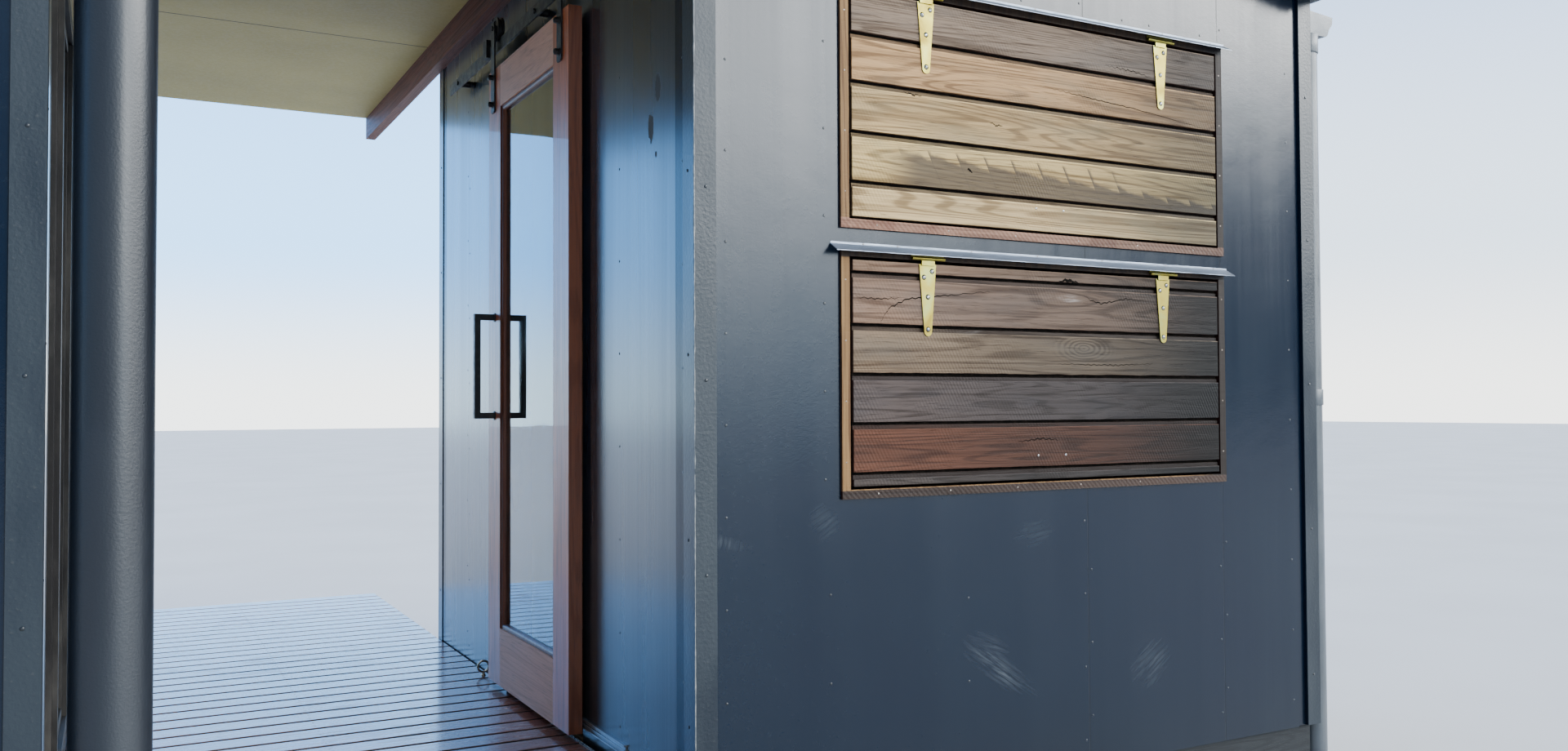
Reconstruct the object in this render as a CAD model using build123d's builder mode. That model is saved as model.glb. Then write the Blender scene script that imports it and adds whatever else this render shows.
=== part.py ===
from build123d import *
from math import atan, cos, radians, sin
import os

# Granny flat: two raised pods either side of a roofed timber deck.
# Millimetres. X across the front, Y away from the front, Z up from the ground.
# X = 0 is the middle of the passage between the pods, Y = 0 the middle of the roof length.

# Heights
deck_height = 420.0
floor_thickness = 54.0
passage_headroom = 2321.0
beam_depth = 240.0
wall_over_beam = 154.0
pod_roof_drop = 245.0
ceiling_over_beam = 108.0

# Plan of the pods, the passage and the roof
passage_width = 1286.0
pod_width = 2128.0
pod_length = 2512.0
wall_thickness = 110.0
roof_length = 4100.0
front_overhang = 120.0

# Base boards under the walls
base_recess = 20.0
base_thickness = 130.0
butt_gap = 1.0

# Folded corner trims and the shadow groove beside the outer front ones
trim_width = 54.0
trim_return = 60.0
trim_sheet = 3.0
groove_from_corner = 54.0
groove_width = 40.0
groove_depth = 8.0

# Servery hatches in the right pod's front wall
hatch_from_corner = 391.0
hatch_from_outer = 405.0
hatch_batten = 24.0
hatch_sill_batten = 23.0
hatch_proud = 8.0
hatch_near_gap = 9.0
hatch_far_gap = 5.5
hatch_sill_gap = 7.0
hatch_head_gap = 12.0
hatch_head_reach = 4.0
head_batten_rise = 17.0
hatch_board_thickness = 20.0
upper_barrel_height = 1987.0
hatch_pitch = 674.0
upper_frame_drop = 608.0
lower_frame_drop = 603.0
upper_board_drops = (116.0, 238.0, 363.0, 488.0)
lower_board_drops = (39.0, 170.0, 293.0, 415.0, 538.0)
board_shadow_gap = 7.0
board_rebate = 10.0
board_shadow_depth = 12.0
board_rebate_depth = 6.0
board_arris = 3.0
ledger_width = 60.0
ledger_thickness = 18.0
ledger_inset = 51.0
ledger_end_gap = 45.0

# Tee hinges of the hatches
hinge_axis_proud = 14.0
hinge_spacing = 823.0
barrel_radius = 4.5
barrel_length = 101.0
pin_radius = 2.2
pin_clearance = 0.05
middle_knuckle = 41.0
knuckle_gap = 0.4
hinge_plate_thickness = 2.5
hinge_plate_height = 16.0
strap_thickness = 3.0
strap_neck = 40.0
strap_neck_clearance = 1.5
strap_top_width = 52.0
strap_tip_width = 23.0
strap_length = 197.0
strap_top_drop = 14.0

# Folded metal flashing over each hatch
flashing_side_lap = 27.0
flashing_far_lap = 18.0
flashing_sheet = 1.5
flashing_upstand = 5.0
flashing_wall_rise = 26.0
flashing_drip_out = 34.0
flashing_drip_rise = 7.0

# Sliding barn door on the passage side of the right pod
door_from_front = 737.0
door_width = 833.0
door_height = 2056.0
door_floor_gap = 24.0
door_wall_gap = 13.0
door_thickness = 40.0
door_stile = 138.0
door_top_rail = 138.0
door_bottom_rail = 188.0
glass_thickness = 5.0
bead_width = 16.0
bead_depth = 12.0
bead_round = 9.0
doorway_side_lap = 30.0
doorway_head_lap = 40.0

# Door pull, a square black bar bent to a D
handle_from_edge = 74.0
handle_height = 902.0
handle_length = 349.0
handle_bar = 15.0
handle_standoff = 70.0

# Rail, hangers and wheels of the barn door
rail_from_front = 15.0
rail_length = 2157.0
rail_over_door = 62.0
rail_depth = 41.0
rail_thickness = 6.0
rail_standoff = 36.0
rail_bolt_inset = 124.0
spacer_radius = 12.5
rail_bolt_radius = 9.0
rail_bolt_head = 5.0
wheel_groove_radius = 35.0
wheel_rim_radius = 42.0
wheel_rail_gap = 0.3
wheel_width = 22.0
wheel_groove_width = 8.0
wheel_groove_flare = 1.0
wheel_hub_radius = 14.0
wheel_web_recess = 4.0
axle_radius = 6.0
axle_clearance = 0.05
axle_clip = 3.0
hanger_from_near_edge = 70.0
hanger_from_far_edge = 61.5
hanger_width = 40.0
hanger_thickness = 5.5
hanger_drop = 147.0
hanger_corner = 6.0
hanger_bolt_drops = (28.0, 119.0)
hanger_bolt_radius = 9.5
hanger_bolt_head = 13.0
stop_length = 36.0
stop_height = 62.0
stop_rise = 26.0
stop_depth = 12.0
stop_over_rail = 6.0
near_stop_inset = 10.0
far_stop_from_door = 34.0

# Window in the left pod's passage wall
window_from_front = 172.0
window_width = 1450.0
window_height = 2060.0
window_frame_face = 50.0
window_frame_depth = 100.0
window_mullion = 46.0
window_glass_thickness = 6.0

# Deck
deck_length = 3900.0
deck_thickness = 22.0
deck_short_length = 1006.0
deck_wall_gap = 19.0
joist_width = 45.0
joist_depth = 140.0
joist_setback = 20.0
joist_side_inset = 83.0
deck_post = 90.0
deck_post_inset = 70.0
deck_post_rows = 4

# Slotted angle on the short ends of the deck boards, and the channel at the wall's foot
angle_sheet = 3.0
angle_over_deck = 3.0
angle_height = 42.0
angle_flange = 16.0
angle_end_gap = 10.0
slot_height = 12.0
slot_width = 5.0
slot_drop = 6.0
slot_count = 9
channel_depth = 8.0
channel_ridge = 4.0
channel_rise = 35.0
channel_height = 28.0
channel_from_front = 430.0

# Eye bolt in the deck beside the door
eye_from_wall = 27.0
eye_from_door = 162.0
eye_ring_radius = 19.0
eye_wire_radius = 4.0
eye_shank = 12.0

# Roof timbers, ceiling and column
beam_width = 45.0
beam_length = 3957.0
ceiling_thickness = 12.0
ceiling_sheet_length = 2547.0
ceiling_joint = 2.0
rafter_width = 45.0
rafter_bays = 6
column_from_wall = 112.0
column_from_front = 27.0
column_radius = 70.0

# Ribbed roof panels and their caps
roof_panel = 50.0
rib_height = 26.0
rib_top = 24.0
rib_base = 60.0
rib_pitch = 200.0
rib_edge = 55.0
eave_overhang = 60.0
pod_back_overhang = 60.0
passage_roof_lap = 90.0
passage_rib_pitch = 190.0
passage_rib_count = 7
cap_sheet = 2.0
cap_drop = 92.0
cap_flange = 55.0
cap_gap = 1.0

# Quad gutters and downpipes
gutter_under_eave = 25.0
gutter_height = 78.0
gutter_lip_drop = 11.0
gutter_width = 145.0
gutter_sheet = 2.0
gutter_belly = 38.0
gutter_belly_share = 0.58
gutter_folds = 6
gutter_near_setback = 27.0
downpipe_radius = 40.0
downpipe_gap = 2.0
downpipe_setback = 57.0
downpipe_foot = 150.0
shoe_radius = 90.0
shoe_turn = 45.0
bracket_width = 40.0
bracket_height = 30.0
bracket_count = 3

# Places worked out from the sizes above
floor_under = deck_height - floor_thickness
beam_under = deck_height + passage_headroom
beam_top = beam_under + beam_depth
inner_wall_top = beam_under + wall_over_beam
ceiling_under = beam_under + ceiling_over_beam
roof_slope = pod_roof_drop / pod_width
roof_angle = atan(roof_slope)
passage_side = passage_width / 2
passage_inside = passage_side + wall_thickness
pod_outer = passage_side + pod_width
outer_inside = pod_outer - wall_thickness
roof_near = cap_sheet - roof_length / 2
roof_far = -roof_near
front_face = front_overhang - roof_length / 2
front_inside = front_face + wall_thickness
back_face = front_face + pod_length
back_inside = back_face - wall_thickness

hatch_frame_left = passage_side + hatch_from_corner
hatch_frame_right = pod_outer - hatch_from_outer
hatch_left = hatch_frame_left + hatch_batten + hatch_near_gap
hatch_right = hatch_frame_right - hatch_batten - hatch_far_gap
hatch_middle = (hatch_left + hatch_right) / 2
batten_face = front_face - hatch_proud
hinge_y = front_face - hinge_axis_proud
hinge_centres = (
    hatch_middle - hinge_spacing / 2,
    hatch_middle + hinge_spacing / 2,
)
upper_barrel = deck_height + upper_barrel_height
lower_barrel = upper_barrel - hatch_pitch
sill_rise = hatch_sill_batten + hatch_sill_gap
upper_leaf = (upper_barrel - upper_frame_drop + sill_rise, upper_barrel - hatch_head_gap)
lower_leaf = (lower_barrel - lower_frame_drop + sill_rise, lower_barrel - hatch_head_gap)
upper_frame = (upper_barrel - upper_frame_drop, upper_barrel + head_batten_rise)
lower_frame = (lower_barrel - lower_frame_drop, lower_barrel + head_batten_rise)

door_near = front_face + door_from_front
door_far = door_near + door_width
door_bottom = deck_height + door_floor_gap
door_top = door_bottom + door_height
door_face = passage_side - door_wall_gap - door_thickness
door_middle = door_face + door_thickness / 2
doorway_near = door_near + doorway_side_lap
doorway_far = door_far - doorway_side_lap
doorway_top = door_top - doorway_head_lap
rail_near = front_face + rail_from_front
rail_far = rail_near + rail_length
rail_bottom = door_top + rail_over_door
rail_top = rail_bottom + rail_depth
rail_middle = rail_bottom + rail_depth / 2
rail_face = passage_side - rail_standoff - rail_thickness
rail_bolts = (rail_near + rail_bolt_inset, (rail_near + rail_far) / 2, rail_far - rail_bolt_inset)
wheel_centre = rail_top + wheel_rail_gap + wheel_groove_radius
wheel_plane = rail_face + rail_thickness / 2
hanger_centres = (door_near + hanger_from_near_edge, door_far - hanger_from_far_edge)

window_near = front_face + window_from_front
window_far = window_near + window_width
window_top = deck_height + window_height
deck_far = front_face + deck_length
deck_side = passage_side - trim_sheet
deck_short_side = passage_side - deck_wall_gap
deck_short_end = front_face + deck_short_length
beam_far = front_face + beam_length
beam_inner = passage_side - beam_width


def block(x, y, z, mode=Mode.ADD):
    # a straight slab or post between pairs of coordinates
    with Locations(((x[0] + x[1]) / 2, (y[0] + y[1]) / 2, (z[0] + z[1]) / 2)):
        Box(x[1] - x[0], y[1] - y[0], z[1] - z[0], mode=mode)


def rod(x, y, z, radius):
    # a round bar along X
    with Locations(Location(((x[0] + x[1]) / 2, y, z), (0, 90, 0))):
        Cylinder(radius, x[1] - x[0])


def hex_head(x, y, z, radius):
    # a hexagonal bolt head whose axis runs along X
    with BuildSketch(Plane.YZ.offset(x[0])) as outline:
        with Locations((y, z)):
            RegularPolygon(radius, 6)
    extrude(outline.sketch, amount=x[1] - x[0])


def along_y(points, y):
    # an outline drawn in X and Z, run from one Y to another
    with BuildSketch(Plane.XZ.offset(-y[0])) as outline:
        with BuildLine():
            Polyline(*points, close=True)
        make_face()
    extrude(outline.sketch, amount=-(y[1] - y[0]))


def along_x(points, x):
    # an outline drawn in Y and Z, run from one X to another
    with BuildSketch(Plane.YZ.offset(x[0])) as outline:
        with BuildLine():
            Polyline(*points, close=True)
        make_face()
    extrude(outline.sketch, amount=x[1] - x[0])


def roof_under(x):
    # height of the underside of a pod's roof at a distance from the middle
    return inner_wall_top - (abs(x) - passage_side) * roof_slope


def wall_slab(x, y, bottom):
    # a wall slab up to the sloping roof
    along_y(((x[0], bottom), (x[1], bottom), (x[1], roof_under(x[1])), (x[0], roof_under(x[0]))), y)


# Floors of the pods, each with a threshold through the wall opening
with BuildPart() as floors:
    inside_y = (front_inside, back_inside)
    floor_z = (floor_under, deck_height)
    block((passage_inside, outer_inside), inside_y, floor_z)
    block((passage_side, passage_inside), (doorway_near, doorway_far), floor_z)
    block((-outer_inside, -passage_inside), inside_y, floor_z)
    block((-passage_inside, -passage_side), (window_near, window_far), floor_z)

# Recessed boards between the walls and the ground
base_x = (passage_side + base_recess, pod_outer - base_recess)
base_y = (front_face + base_recess, back_face - base_recess)
with BuildPart() as base_boards:
    base_z = (0, floor_under)
    side_y = (base_y[0] + base_thickness + butt_gap, base_y[1] - base_thickness - butt_gap)
    block(base_x, (base_y[0], base_y[0] + base_thickness), base_z)
    block(base_x, (base_y[1] - base_thickness, base_y[1]), base_z)
    block((base_x[0], base_x[0] + base_thickness), side_y, base_z)
    block((base_x[1] - base_thickness, base_x[1]), side_y, base_z)
    mirror(about=Plane.YZ)

# Shadow groove in the cladding beside the trim of an outer front corner
front_wall_y = (front_face, front_inside)
groove_x = (pod_outer - groove_from_corner - groove_width, pod_outer - groove_from_corner)
groove_y = (front_face, front_face + groove_depth)
groove_z = (floor_under, inner_wall_top)

# Right pod's front wall, beside the hatches
with BuildPart() as front_wall_sides:
    wall_slab((passage_side, hatch_frame_left), front_wall_y, floor_under)
    wall_slab((hatch_frame_right, pod_outer), front_wall_y, floor_under)
    block(groove_x, groove_y, groove_z, mode=Mode.SUBTRACT)

# Right pod's front wall, below, between and above the hatches
frame_x = (hatch_frame_left, hatch_frame_right)
with BuildPart() as front_wall_panels:
    block(frame_x, front_wall_y, (floor_under, lower_frame[0]))
    block(frame_x, front_wall_y, (lower_frame[1], upper_frame[0]))
    wall_slab(frame_x, front_wall_y, upper_frame[1])

# Left pod's plain front wall
with BuildPart() as left_front_wall:
    wall_slab((passage_side, pod_outer), front_wall_y, floor_under)
    block(groove_x, groove_y, groove_z, mode=Mode.SUBTRACT)
    mirror(about=Plane.YZ, mode=Mode.REPLACE)

# Right pod's passage wall, either side of the doorway
passage_wall_x = (passage_side, passage_inside)
with BuildPart() as door_wall_sides:
    wall_slab(passage_wall_x, (front_inside, doorway_near), floor_under)
    wall_slab(passage_wall_x, (doorway_far, back_inside), floor_under)

# Left pod's passage wall, either side of the window
with BuildPart() as left_wall_sides:
    wall_slab(passage_wall_x, (front_inside, window_near), floor_under)
    wall_slab(passage_wall_x, (window_far, back_inside), floor_under)
    mirror(about=Plane.YZ, mode=Mode.REPLACE)

# Wall over the window and over the doorway
with BuildPart() as wall_heads:
    wall_slab(passage_wall_x, (window_near, window_far), window_top)
    mirror(about=Plane.YZ, mode=Mode.REPLACE)
    wall_slab(passage_wall_x, (doorway_near, doorway_far), doorway_top)

# Back walls of both pods
with BuildPart() as back_walls:
    wall_slab((passage_side, pod_outer), (back_inside, back_face), floor_under)
    mirror(about=Plane.YZ)

# Outer side walls of both pods
with BuildPart() as outer_walls:
    wall_slab((outer_inside, pod_outer), (front_inside, back_inside), floor_under)
    mirror(about=Plane.YZ)

# Folded metal trims on the eight wall corners
inner_trim_x = passage_side - trim_sheet
outer_trim_x = pod_outer + trim_sheet
with BuildPart() as corner_trims:
    for near, far, side_near, side_far in (
        (front_face - trim_sheet, front_face, front_face, front_face + trim_return),
        (back_face, back_face + trim_sheet, back_face - trim_return, back_face),
    ):
        inner_z = (floor_under, beam_under)
        block((inner_trim_x, passage_side + trim_width), (near, far), inner_z)
        block((inner_trim_x, passage_side), (side_near, side_far), inner_z)
        outer_z = (floor_under, roof_under(outer_trim_x))
        block((pod_outer - trim_width, outer_trim_x), (near, far), outer_z)
        block((pod_outer, outer_trim_x), (side_near, side_far), outer_z)
    mirror(about=Plane.YZ)

# Frames of battens that line the two hatch openings and stand proud of the cladding
with BuildPart() as hatch_battens:
    frame_y = (batten_face, front_inside)
    for barrel, (bottom, top) in ((upper_barrel, upper_frame), (lower_barrel, lower_frame)):
        block(frame_x, frame_y, (bottom, bottom + hatch_sill_batten))
        block(frame_x, frame_y, (barrel - hatch_head_reach, top))
        block((frame_x[0], frame_x[0] + hatch_batten), frame_y, (bottom, top))
        block((frame_x[1] - hatch_batten, frame_x[1]), frame_y, (bottom, top))

# Folded flashing over each hatch: upstand and slope
with BuildPart() as flashings:
    drip_y = front_face - flashing_drip_out
    for barrel in (upper_barrel, lower_barrel):
        wall_z = barrel + flashing_wall_rise
        drip_z = barrel + flashing_drip_rise
        profile = (
            (front_face, wall_z + flashing_upstand),
            (front_face - flashing_sheet, wall_z + flashing_upstand),
            (front_face - flashing_sheet, wall_z),
            (drip_y, drip_z),
            (drip_y, drip_z - flashing_sheet),
            (front_face, wall_z - flashing_sheet),
        )
        along_x(profile, (frame_x[0] - flashing_side_lap, frame_x[1] + flashing_far_lap))

# Fixed half of the tee hinges: plate, end knuckles and pin
half_barrel = barrel_length / 2
knuckle_start = middle_knuckle / 2 + knuckle_gap
with BuildPart() as hinge_plates:
    for barrel in (upper_barrel, lower_barrel):
        plate_y = (batten_face - hinge_plate_thickness, batten_face)
        for centre in hinge_centres:
            for end in (
                (centre - half_barrel, centre - knuckle_start),
                (centre + knuckle_start, centre + half_barrel),
            ):
                rod(end, hinge_y, barrel, barrel_radius)
                block(end, (hinge_y, batten_face), (barrel, barrel + barrel_radius))
                block(end, plate_y, (barrel, barrel + barrel_radius + knuckle_gap))
            plate_z = (barrel + barrel_radius + knuckle_gap, barrel + hinge_plate_height)
            block((centre - half_barrel, centre + half_barrel), plate_y, plate_z)
            rod((centre - half_barrel, centre + half_barrel), hinge_y, barrel, pin_radius)


def hatch_leaf(span, board_edges):
    # shiplap boards: each lower board starts with a shadow gap and a rebate
    face = batten_face
    back = batten_face + hatch_board_thickness
    points = [(back, span[0]), (face, span[0])]
    for edge in reversed(board_edges):
        rebate_end = edge - board_shadow_gap - board_rebate
        points.append((face, rebate_end))
        points.append((face + board_rebate_depth, rebate_end + board_arris))
        points.append((face + board_rebate_depth, edge - board_shadow_gap))
        points.append((face + board_shadow_depth, edge - board_shadow_gap))
        points.append((face + board_shadow_depth, edge))
        points.append((face, edge))
    points += [(face, span[1]), (back, span[1])]
    along_x(points, (hatch_left, hatch_right))
    ledger_z = (span[0] + ledger_end_gap, span[1] - ledger_end_gap)
    ledger_y = (back, back + ledger_thickness)
    left = hatch_left + ledger_inset
    right = hatch_right - ledger_inset
    block((left, left + ledger_width), ledger_y, ledger_z)
    block((right - ledger_width, right), ledger_y, ledger_z)


with BuildPart() as upper_hatch_boards:
    hatch_leaf(upper_leaf, [upper_barrel - drop for drop in upper_board_drops])

with BuildPart() as lower_hatch_boards:
    hatch_leaf(lower_leaf, [lower_barrel - drop for drop in lower_board_drops])


def hinge_straps(barrel):
    # tapered strap with a rounded tip, its neck and the middle knuckle on the pin
    half_top = strap_top_width / 2
    half_tip = strap_tip_width / 2
    tip_z = half_tip - strap_length
    for centre in hinge_centres:
        plate = Plane((centre, batten_face, barrel), x_dir=(1, 0, 0), z_dir=(0, -1, 0))
        with BuildSketch(plate) as outline:
            with BuildLine():
                Line((-half_top, -strap_top_drop), (half_top, -strap_top_drop))
                Line((half_top, -strap_top_drop), (half_tip, tip_z))
                ThreePointArc((half_tip, tip_z), (0, -strap_length), (-half_tip, tip_z))
                Line((-half_tip, tip_z), (-half_top, -strap_top_drop))
            make_face()
        extrude(outline.sketch, amount=strap_thickness)
        neck_x = (centre - strap_neck / 2, centre + strap_neck / 2)
        neck_y = (hinge_y, batten_face - strap_neck_clearance)
        block(neck_x, neck_y, (barrel - strap_top_drop - strap_thickness, barrel))
        rod((centre - middle_knuckle / 2, centre + middle_knuckle / 2), hinge_y, barrel, barrel_radius)
        with Locations(Location((centre, hinge_y, barrel), (0, 90, 0))):
            Cylinder(pin_radius + pin_clearance, barrel_length, mode=Mode.SUBTRACT)


with BuildPart() as upper_hinge_straps:
    hinge_straps(upper_barrel)

with BuildPart() as lower_hinge_straps:
    hinge_straps(lower_barrel)

# Door stiles, rails, glass and the moulded beads that hold it
door_x = (door_face, door_face + door_thickness)
glass_y = (door_near + door_stile, door_far - door_stile)
glass_z = (door_bottom + door_bottom_rail, door_top - door_top_rail)
glass_x = (door_middle - glass_thickness / 2, door_middle + glass_thickness / 2)
with BuildPart() as door_stiles:
    block(door_x, (door_near, glass_y[0]), (door_bottom, door_top))
    block(door_x, (glass_y[1], door_far), (door_bottom, door_top))

with BuildPart() as door_rails:
    block(door_x, glass_y, (door_bottom, glass_z[0]))
    block(door_x, glass_y, (glass_z[1], door_top))

with BuildPart() as door_glass:
    block(glass_x, glass_y, glass_z)

with BuildPart() as door_beads:
    for plane_x, outward in ((glass_x[0], -bead_depth), (glass_x[1], bead_depth)):
        with BuildSketch(Plane.YZ.offset(plane_x)) as ring:
            with Locations((sum(glass_y) / 2, sum(glass_z) / 2)):
                width = glass_y[1] - glass_y[0]
                height = glass_z[1] - glass_z[0]
                Rectangle(width, height)
                Rectangle(width - 2 * bead_width, height - 2 * bead_width, mode=Mode.SUBTRACT)
        extrude(ring.sketch, amount=outward)
    outer_faces = door_beads.faces().sort_by(Axis.X)
    for face in (outer_faces[0], outer_faces[-1]):
        fillet(face.inner_wires()[0].edges(), radius=bead_round)

# Door pull
with BuildPart() as door_handle:
    handle_y = door_far - handle_from_edge
    grip_x = (door_face - handle_standoff, door_face - handle_standoff + handle_bar)
    grip_y = (handle_y - handle_bar / 2, handle_y + handle_bar / 2)
    handle_z = (deck_height + handle_height, deck_height + handle_height + handle_length)
    block(grip_x, grip_y, handle_z)
    for leg in (handle_z[0], handle_z[1] - handle_bar):
        block((grip_x[0], door_face), grip_y, (leg, leg + handle_bar))

# Hangers: flat straps carrying the axles, with their bolts
strap_x = (door_face - hanger_thickness, door_face)
axle_end = wheel_plane + wheel_width / 2 + axle_clip
with BuildPart() as door_hangers:
    for centre in hanger_centres:
        strap_bottom = door_top - hanger_drop
        half = hanger_width / 2
        with BuildSketch(Plane.YZ.offset(strap_x[0])) as outline:
            with BuildLine():
                Polyline(
                    (centre - half, wheel_centre),
                    (centre - half, strap_bottom + hanger_corner),
                    (centre - half + hanger_corner, strap_bottom),
                    (centre + half - hanger_corner, strap_bottom),
                    (centre + half, strap_bottom + hanger_corner),
                    (centre + half, wheel_centre),
                )
                ThreePointArc(
                    (centre + half, wheel_centre),
                    (centre, wheel_centre + half),
                    (centre - half, wheel_centre),
                )
            make_face()
        extrude(outline.sketch, amount=hanger_thickness)
        rod((door_face, axle_end), centre, wheel_centre, axle_radius)
        rod((axle_end, axle_end + axle_clip), centre, wheel_centre, hanger_bolt_radius)
        hex_head((strap_x[0] - rail_bolt_head, strap_x[0]), centre, wheel_centre, hanger_bolt_radius)
        for drop in hanger_bolt_drops:
            head_x = (strap_x[0] - hanger_bolt_head, strap_x[0])
            hex_head(head_x, centre, door_top - drop, hanger_bolt_radius)


def grooved_wheel(centre):
    # turned wheel: hub, recessed web, two rims, a groove for the rail and a bore for the axle
    half_width = wheel_width / 2
    half_groove = wheel_groove_width / 2
    half_web = half_width - wheel_web_recess
    bore = axle_radius + axle_clearance
    web_rim = wheel_groove_radius - wheel_web_recess
    with BuildSketch(Plane.XY) as section:
        with BuildLine():
            Polyline(
                (-half_width, bore),
                (half_width, bore),
                (half_width, wheel_hub_radius),
                (half_web, wheel_hub_radius),
                (half_web, web_rim),
                (half_width, web_rim),
                (half_width, wheel_rim_radius),
                (half_groove + wheel_groove_flare, wheel_rim_radius),
                (half_groove, wheel_groove_radius),
                (-half_groove, wheel_groove_radius),
                (-half_groove - wheel_groove_flare, wheel_rim_radius),
                (-half_width, wheel_rim_radius),
                (-half_width, web_rim),
                (-half_web, web_rim),
                (-half_web, wheel_hub_radius),
                (-half_width, wheel_hub_radius),
                close=True,
            )
        make_face()
    turned = revolve(section.sketch, axis=Axis.X, mode=Mode.PRIVATE)
    add(turned.moved(Location((wheel_plane, centre, wheel_centre))))


with BuildPart() as near_wheel:
    grooved_wheel(hanger_centres[0])

with BuildPart() as far_wheel:
    grooved_wheel(hanger_centres[1])

# Flat rail on spacers, with its bolt heads
with BuildPart() as barn_rail:
    block((rail_face, rail_face + rail_thickness), (rail_near, rail_far), (rail_bottom, rail_top))
    for bolt in rail_bolts:
        rod((rail_face + rail_thickness, passage_side), bolt, rail_middle, spacer_radius)
        hex_head((rail_face - rail_bolt_head, rail_face), bolt, rail_middle, rail_bolt_radius)

# Blocks that stop the wheels
with BuildPart() as rail_stops:
    stop_z = (rail_top + stop_rise - stop_height, rail_top + stop_rise)
    for near_end in (rail_near + near_stop_inset, door_far + far_stop_from_door):
        stop_y = (near_end, near_end + stop_length)
        block((rail_face - stop_depth, rail_face), stop_y, stop_z)
        over_x = (rail_face, rail_face + rail_thickness + stop_over_rail)
        block(over_x, stop_y, (rail_top, stop_z[1]))

# Aluminium channel at the foot of the passage wall
with BuildPart() as wall_channel:
    channel_y = (front_face + channel_from_front, doorway_near)
    channel_bottom = deck_height + channel_rise
    channel_top = channel_bottom + channel_height
    block((passage_side - channel_ridge, passage_side), channel_y, (channel_bottom, channel_top))
    ridge_x = (passage_side - channel_depth, passage_side - channel_ridge)
    for share in (0, 0.5, 1):
        ridge_bottom = channel_bottom + share * (channel_height - channel_ridge)
        block(ridge_x, channel_y, (ridge_bottom, ridge_bottom + channel_ridge))

# Deck, cut back along the right wall near the front
with BuildPart() as deck:
    deck_z = (deck_height - deck_thickness, deck_height)
    block((-deck_side, deck_short_side), (front_face, deck_far), deck_z)
    block((deck_short_side, deck_side), (deck_short_end, deck_far), deck_z)

# Joists under the deck
joist_z = (deck_height - deck_thickness - joist_depth, deck_height - deck_thickness)
joist_side = passage_side - joist_side_inset
joist_rows = (-joist_side, 0, joist_side)
with BuildPart() as deck_joists:
    for row in joist_rows:
        joist_x = (row - joist_width / 2, row + joist_width / 2)
        block(joist_x, (front_face + joist_setback, deck_far - joist_setback), joist_z)

# Posts under the joists
with BuildPart() as deck_posts:
    post_first = front_face + deck_post_inset
    post_step = (deck_length - 2 * deck_post_inset) / (deck_post_rows - 1)
    for row in joist_rows:
        for index in range(deck_post_rows):
            middle = post_first + index * post_step
            post_x = (row - deck_post / 2, row + deck_post / 2)
            block(post_x, (middle - deck_post / 2, middle + deck_post / 2), (0, joist_z[0]))

# Slotted steel angle on the short ends of the deck boards
with BuildPart() as edge_angle:
    angle_y = (front_face + angle_end_gap, deck_short_end)
    angle_top = deck_height + angle_over_deck
    angle_bottom = angle_top - angle_height
    leg_x = (deck_short_side, deck_short_side + angle_sheet)
    block(leg_x, angle_y, (angle_bottom, angle_top))
    foot_x = (deck_short_side, deck_short_side + angle_flange)
    block(foot_x, angle_y, (angle_bottom, angle_bottom + angle_sheet))
    slot_step = (angle_y[1] - angle_y[0]) / slot_count
    slot_x = (leg_x[0] - angle_sheet, leg_x[1] + angle_sheet)
    slot_z = (angle_top - slot_drop - slot_height, angle_top - slot_drop)
    for slot in range(slot_count):
        middle = angle_y[0] + slot_step * (slot + 0.5)
        block(slot_x, (middle - slot_width / 2, middle + slot_width / 2), slot_z, mode=Mode.SUBTRACT)

# Eye bolt standing in the deck
with BuildPart() as eye_bolt:
    eye_x = passage_side - eye_from_wall
    eye_y = door_far + eye_from_door
    ring_z = deck_height + eye_shank + eye_ring_radius
    with Locations(Location((eye_x, eye_y, ring_z), (90, 0, 0))):
        Torus(eye_ring_radius, eye_wire_radius)
    with Locations((eye_x, eye_y, deck_height + eye_shank / 2)):
        Cylinder(eye_wire_radius, eye_shank)

# Beams along the tops of the passage walls
with BuildPart() as roof_beams:
    block((beam_inner, passage_side), (front_face, beam_far), (beam_under, beam_top))
    mirror(about=Plane.YZ)

# Ceiling sheets between the beams
with BuildPart() as soffit:
    ceiling_x = (-beam_inner, beam_inner)
    ceiling_z = (ceiling_under, ceiling_under + ceiling_thickness)
    joint_y = front_face + ceiling_sheet_length
    block(ceiling_x, (front_face, joint_y), ceiling_z)
    block(ceiling_x, (joint_y + ceiling_joint, beam_far), ceiling_z)

# Rafters over the ceiling sheets, and the front header the column carries
with BuildPart() as roof_rafters:
    rafter_z = (ceiling_z[1], beam_top)
    rafter_step = (beam_length - rafter_width) / rafter_bays
    for bay in range(rafter_bays + 1):
        rafter_near = front_face + bay * rafter_step
        block(ceiling_x, (rafter_near, rafter_near + rafter_width), rafter_z)
    block(ceiling_x, (front_face, front_face + rafter_width), (beam_under, ceiling_under))


def ribbed_outline(length, first, pitch, count):
    # section of a roof panel: flat underside, trapezoid ribs on the top
    points = [(0, 0), (length, 0), (length, roof_panel)]
    for rib in reversed(range(count)):
        middle = first + rib * pitch
        points.append((middle + rib_base / 2, roof_panel))
        points.append((middle + rib_top / 2, roof_panel + rib_height))
        points.append((middle - rib_top / 2, roof_panel + rib_height))
        points.append((middle - rib_base / 2, roof_panel))
    points.append((0, roof_panel))
    return points


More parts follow.
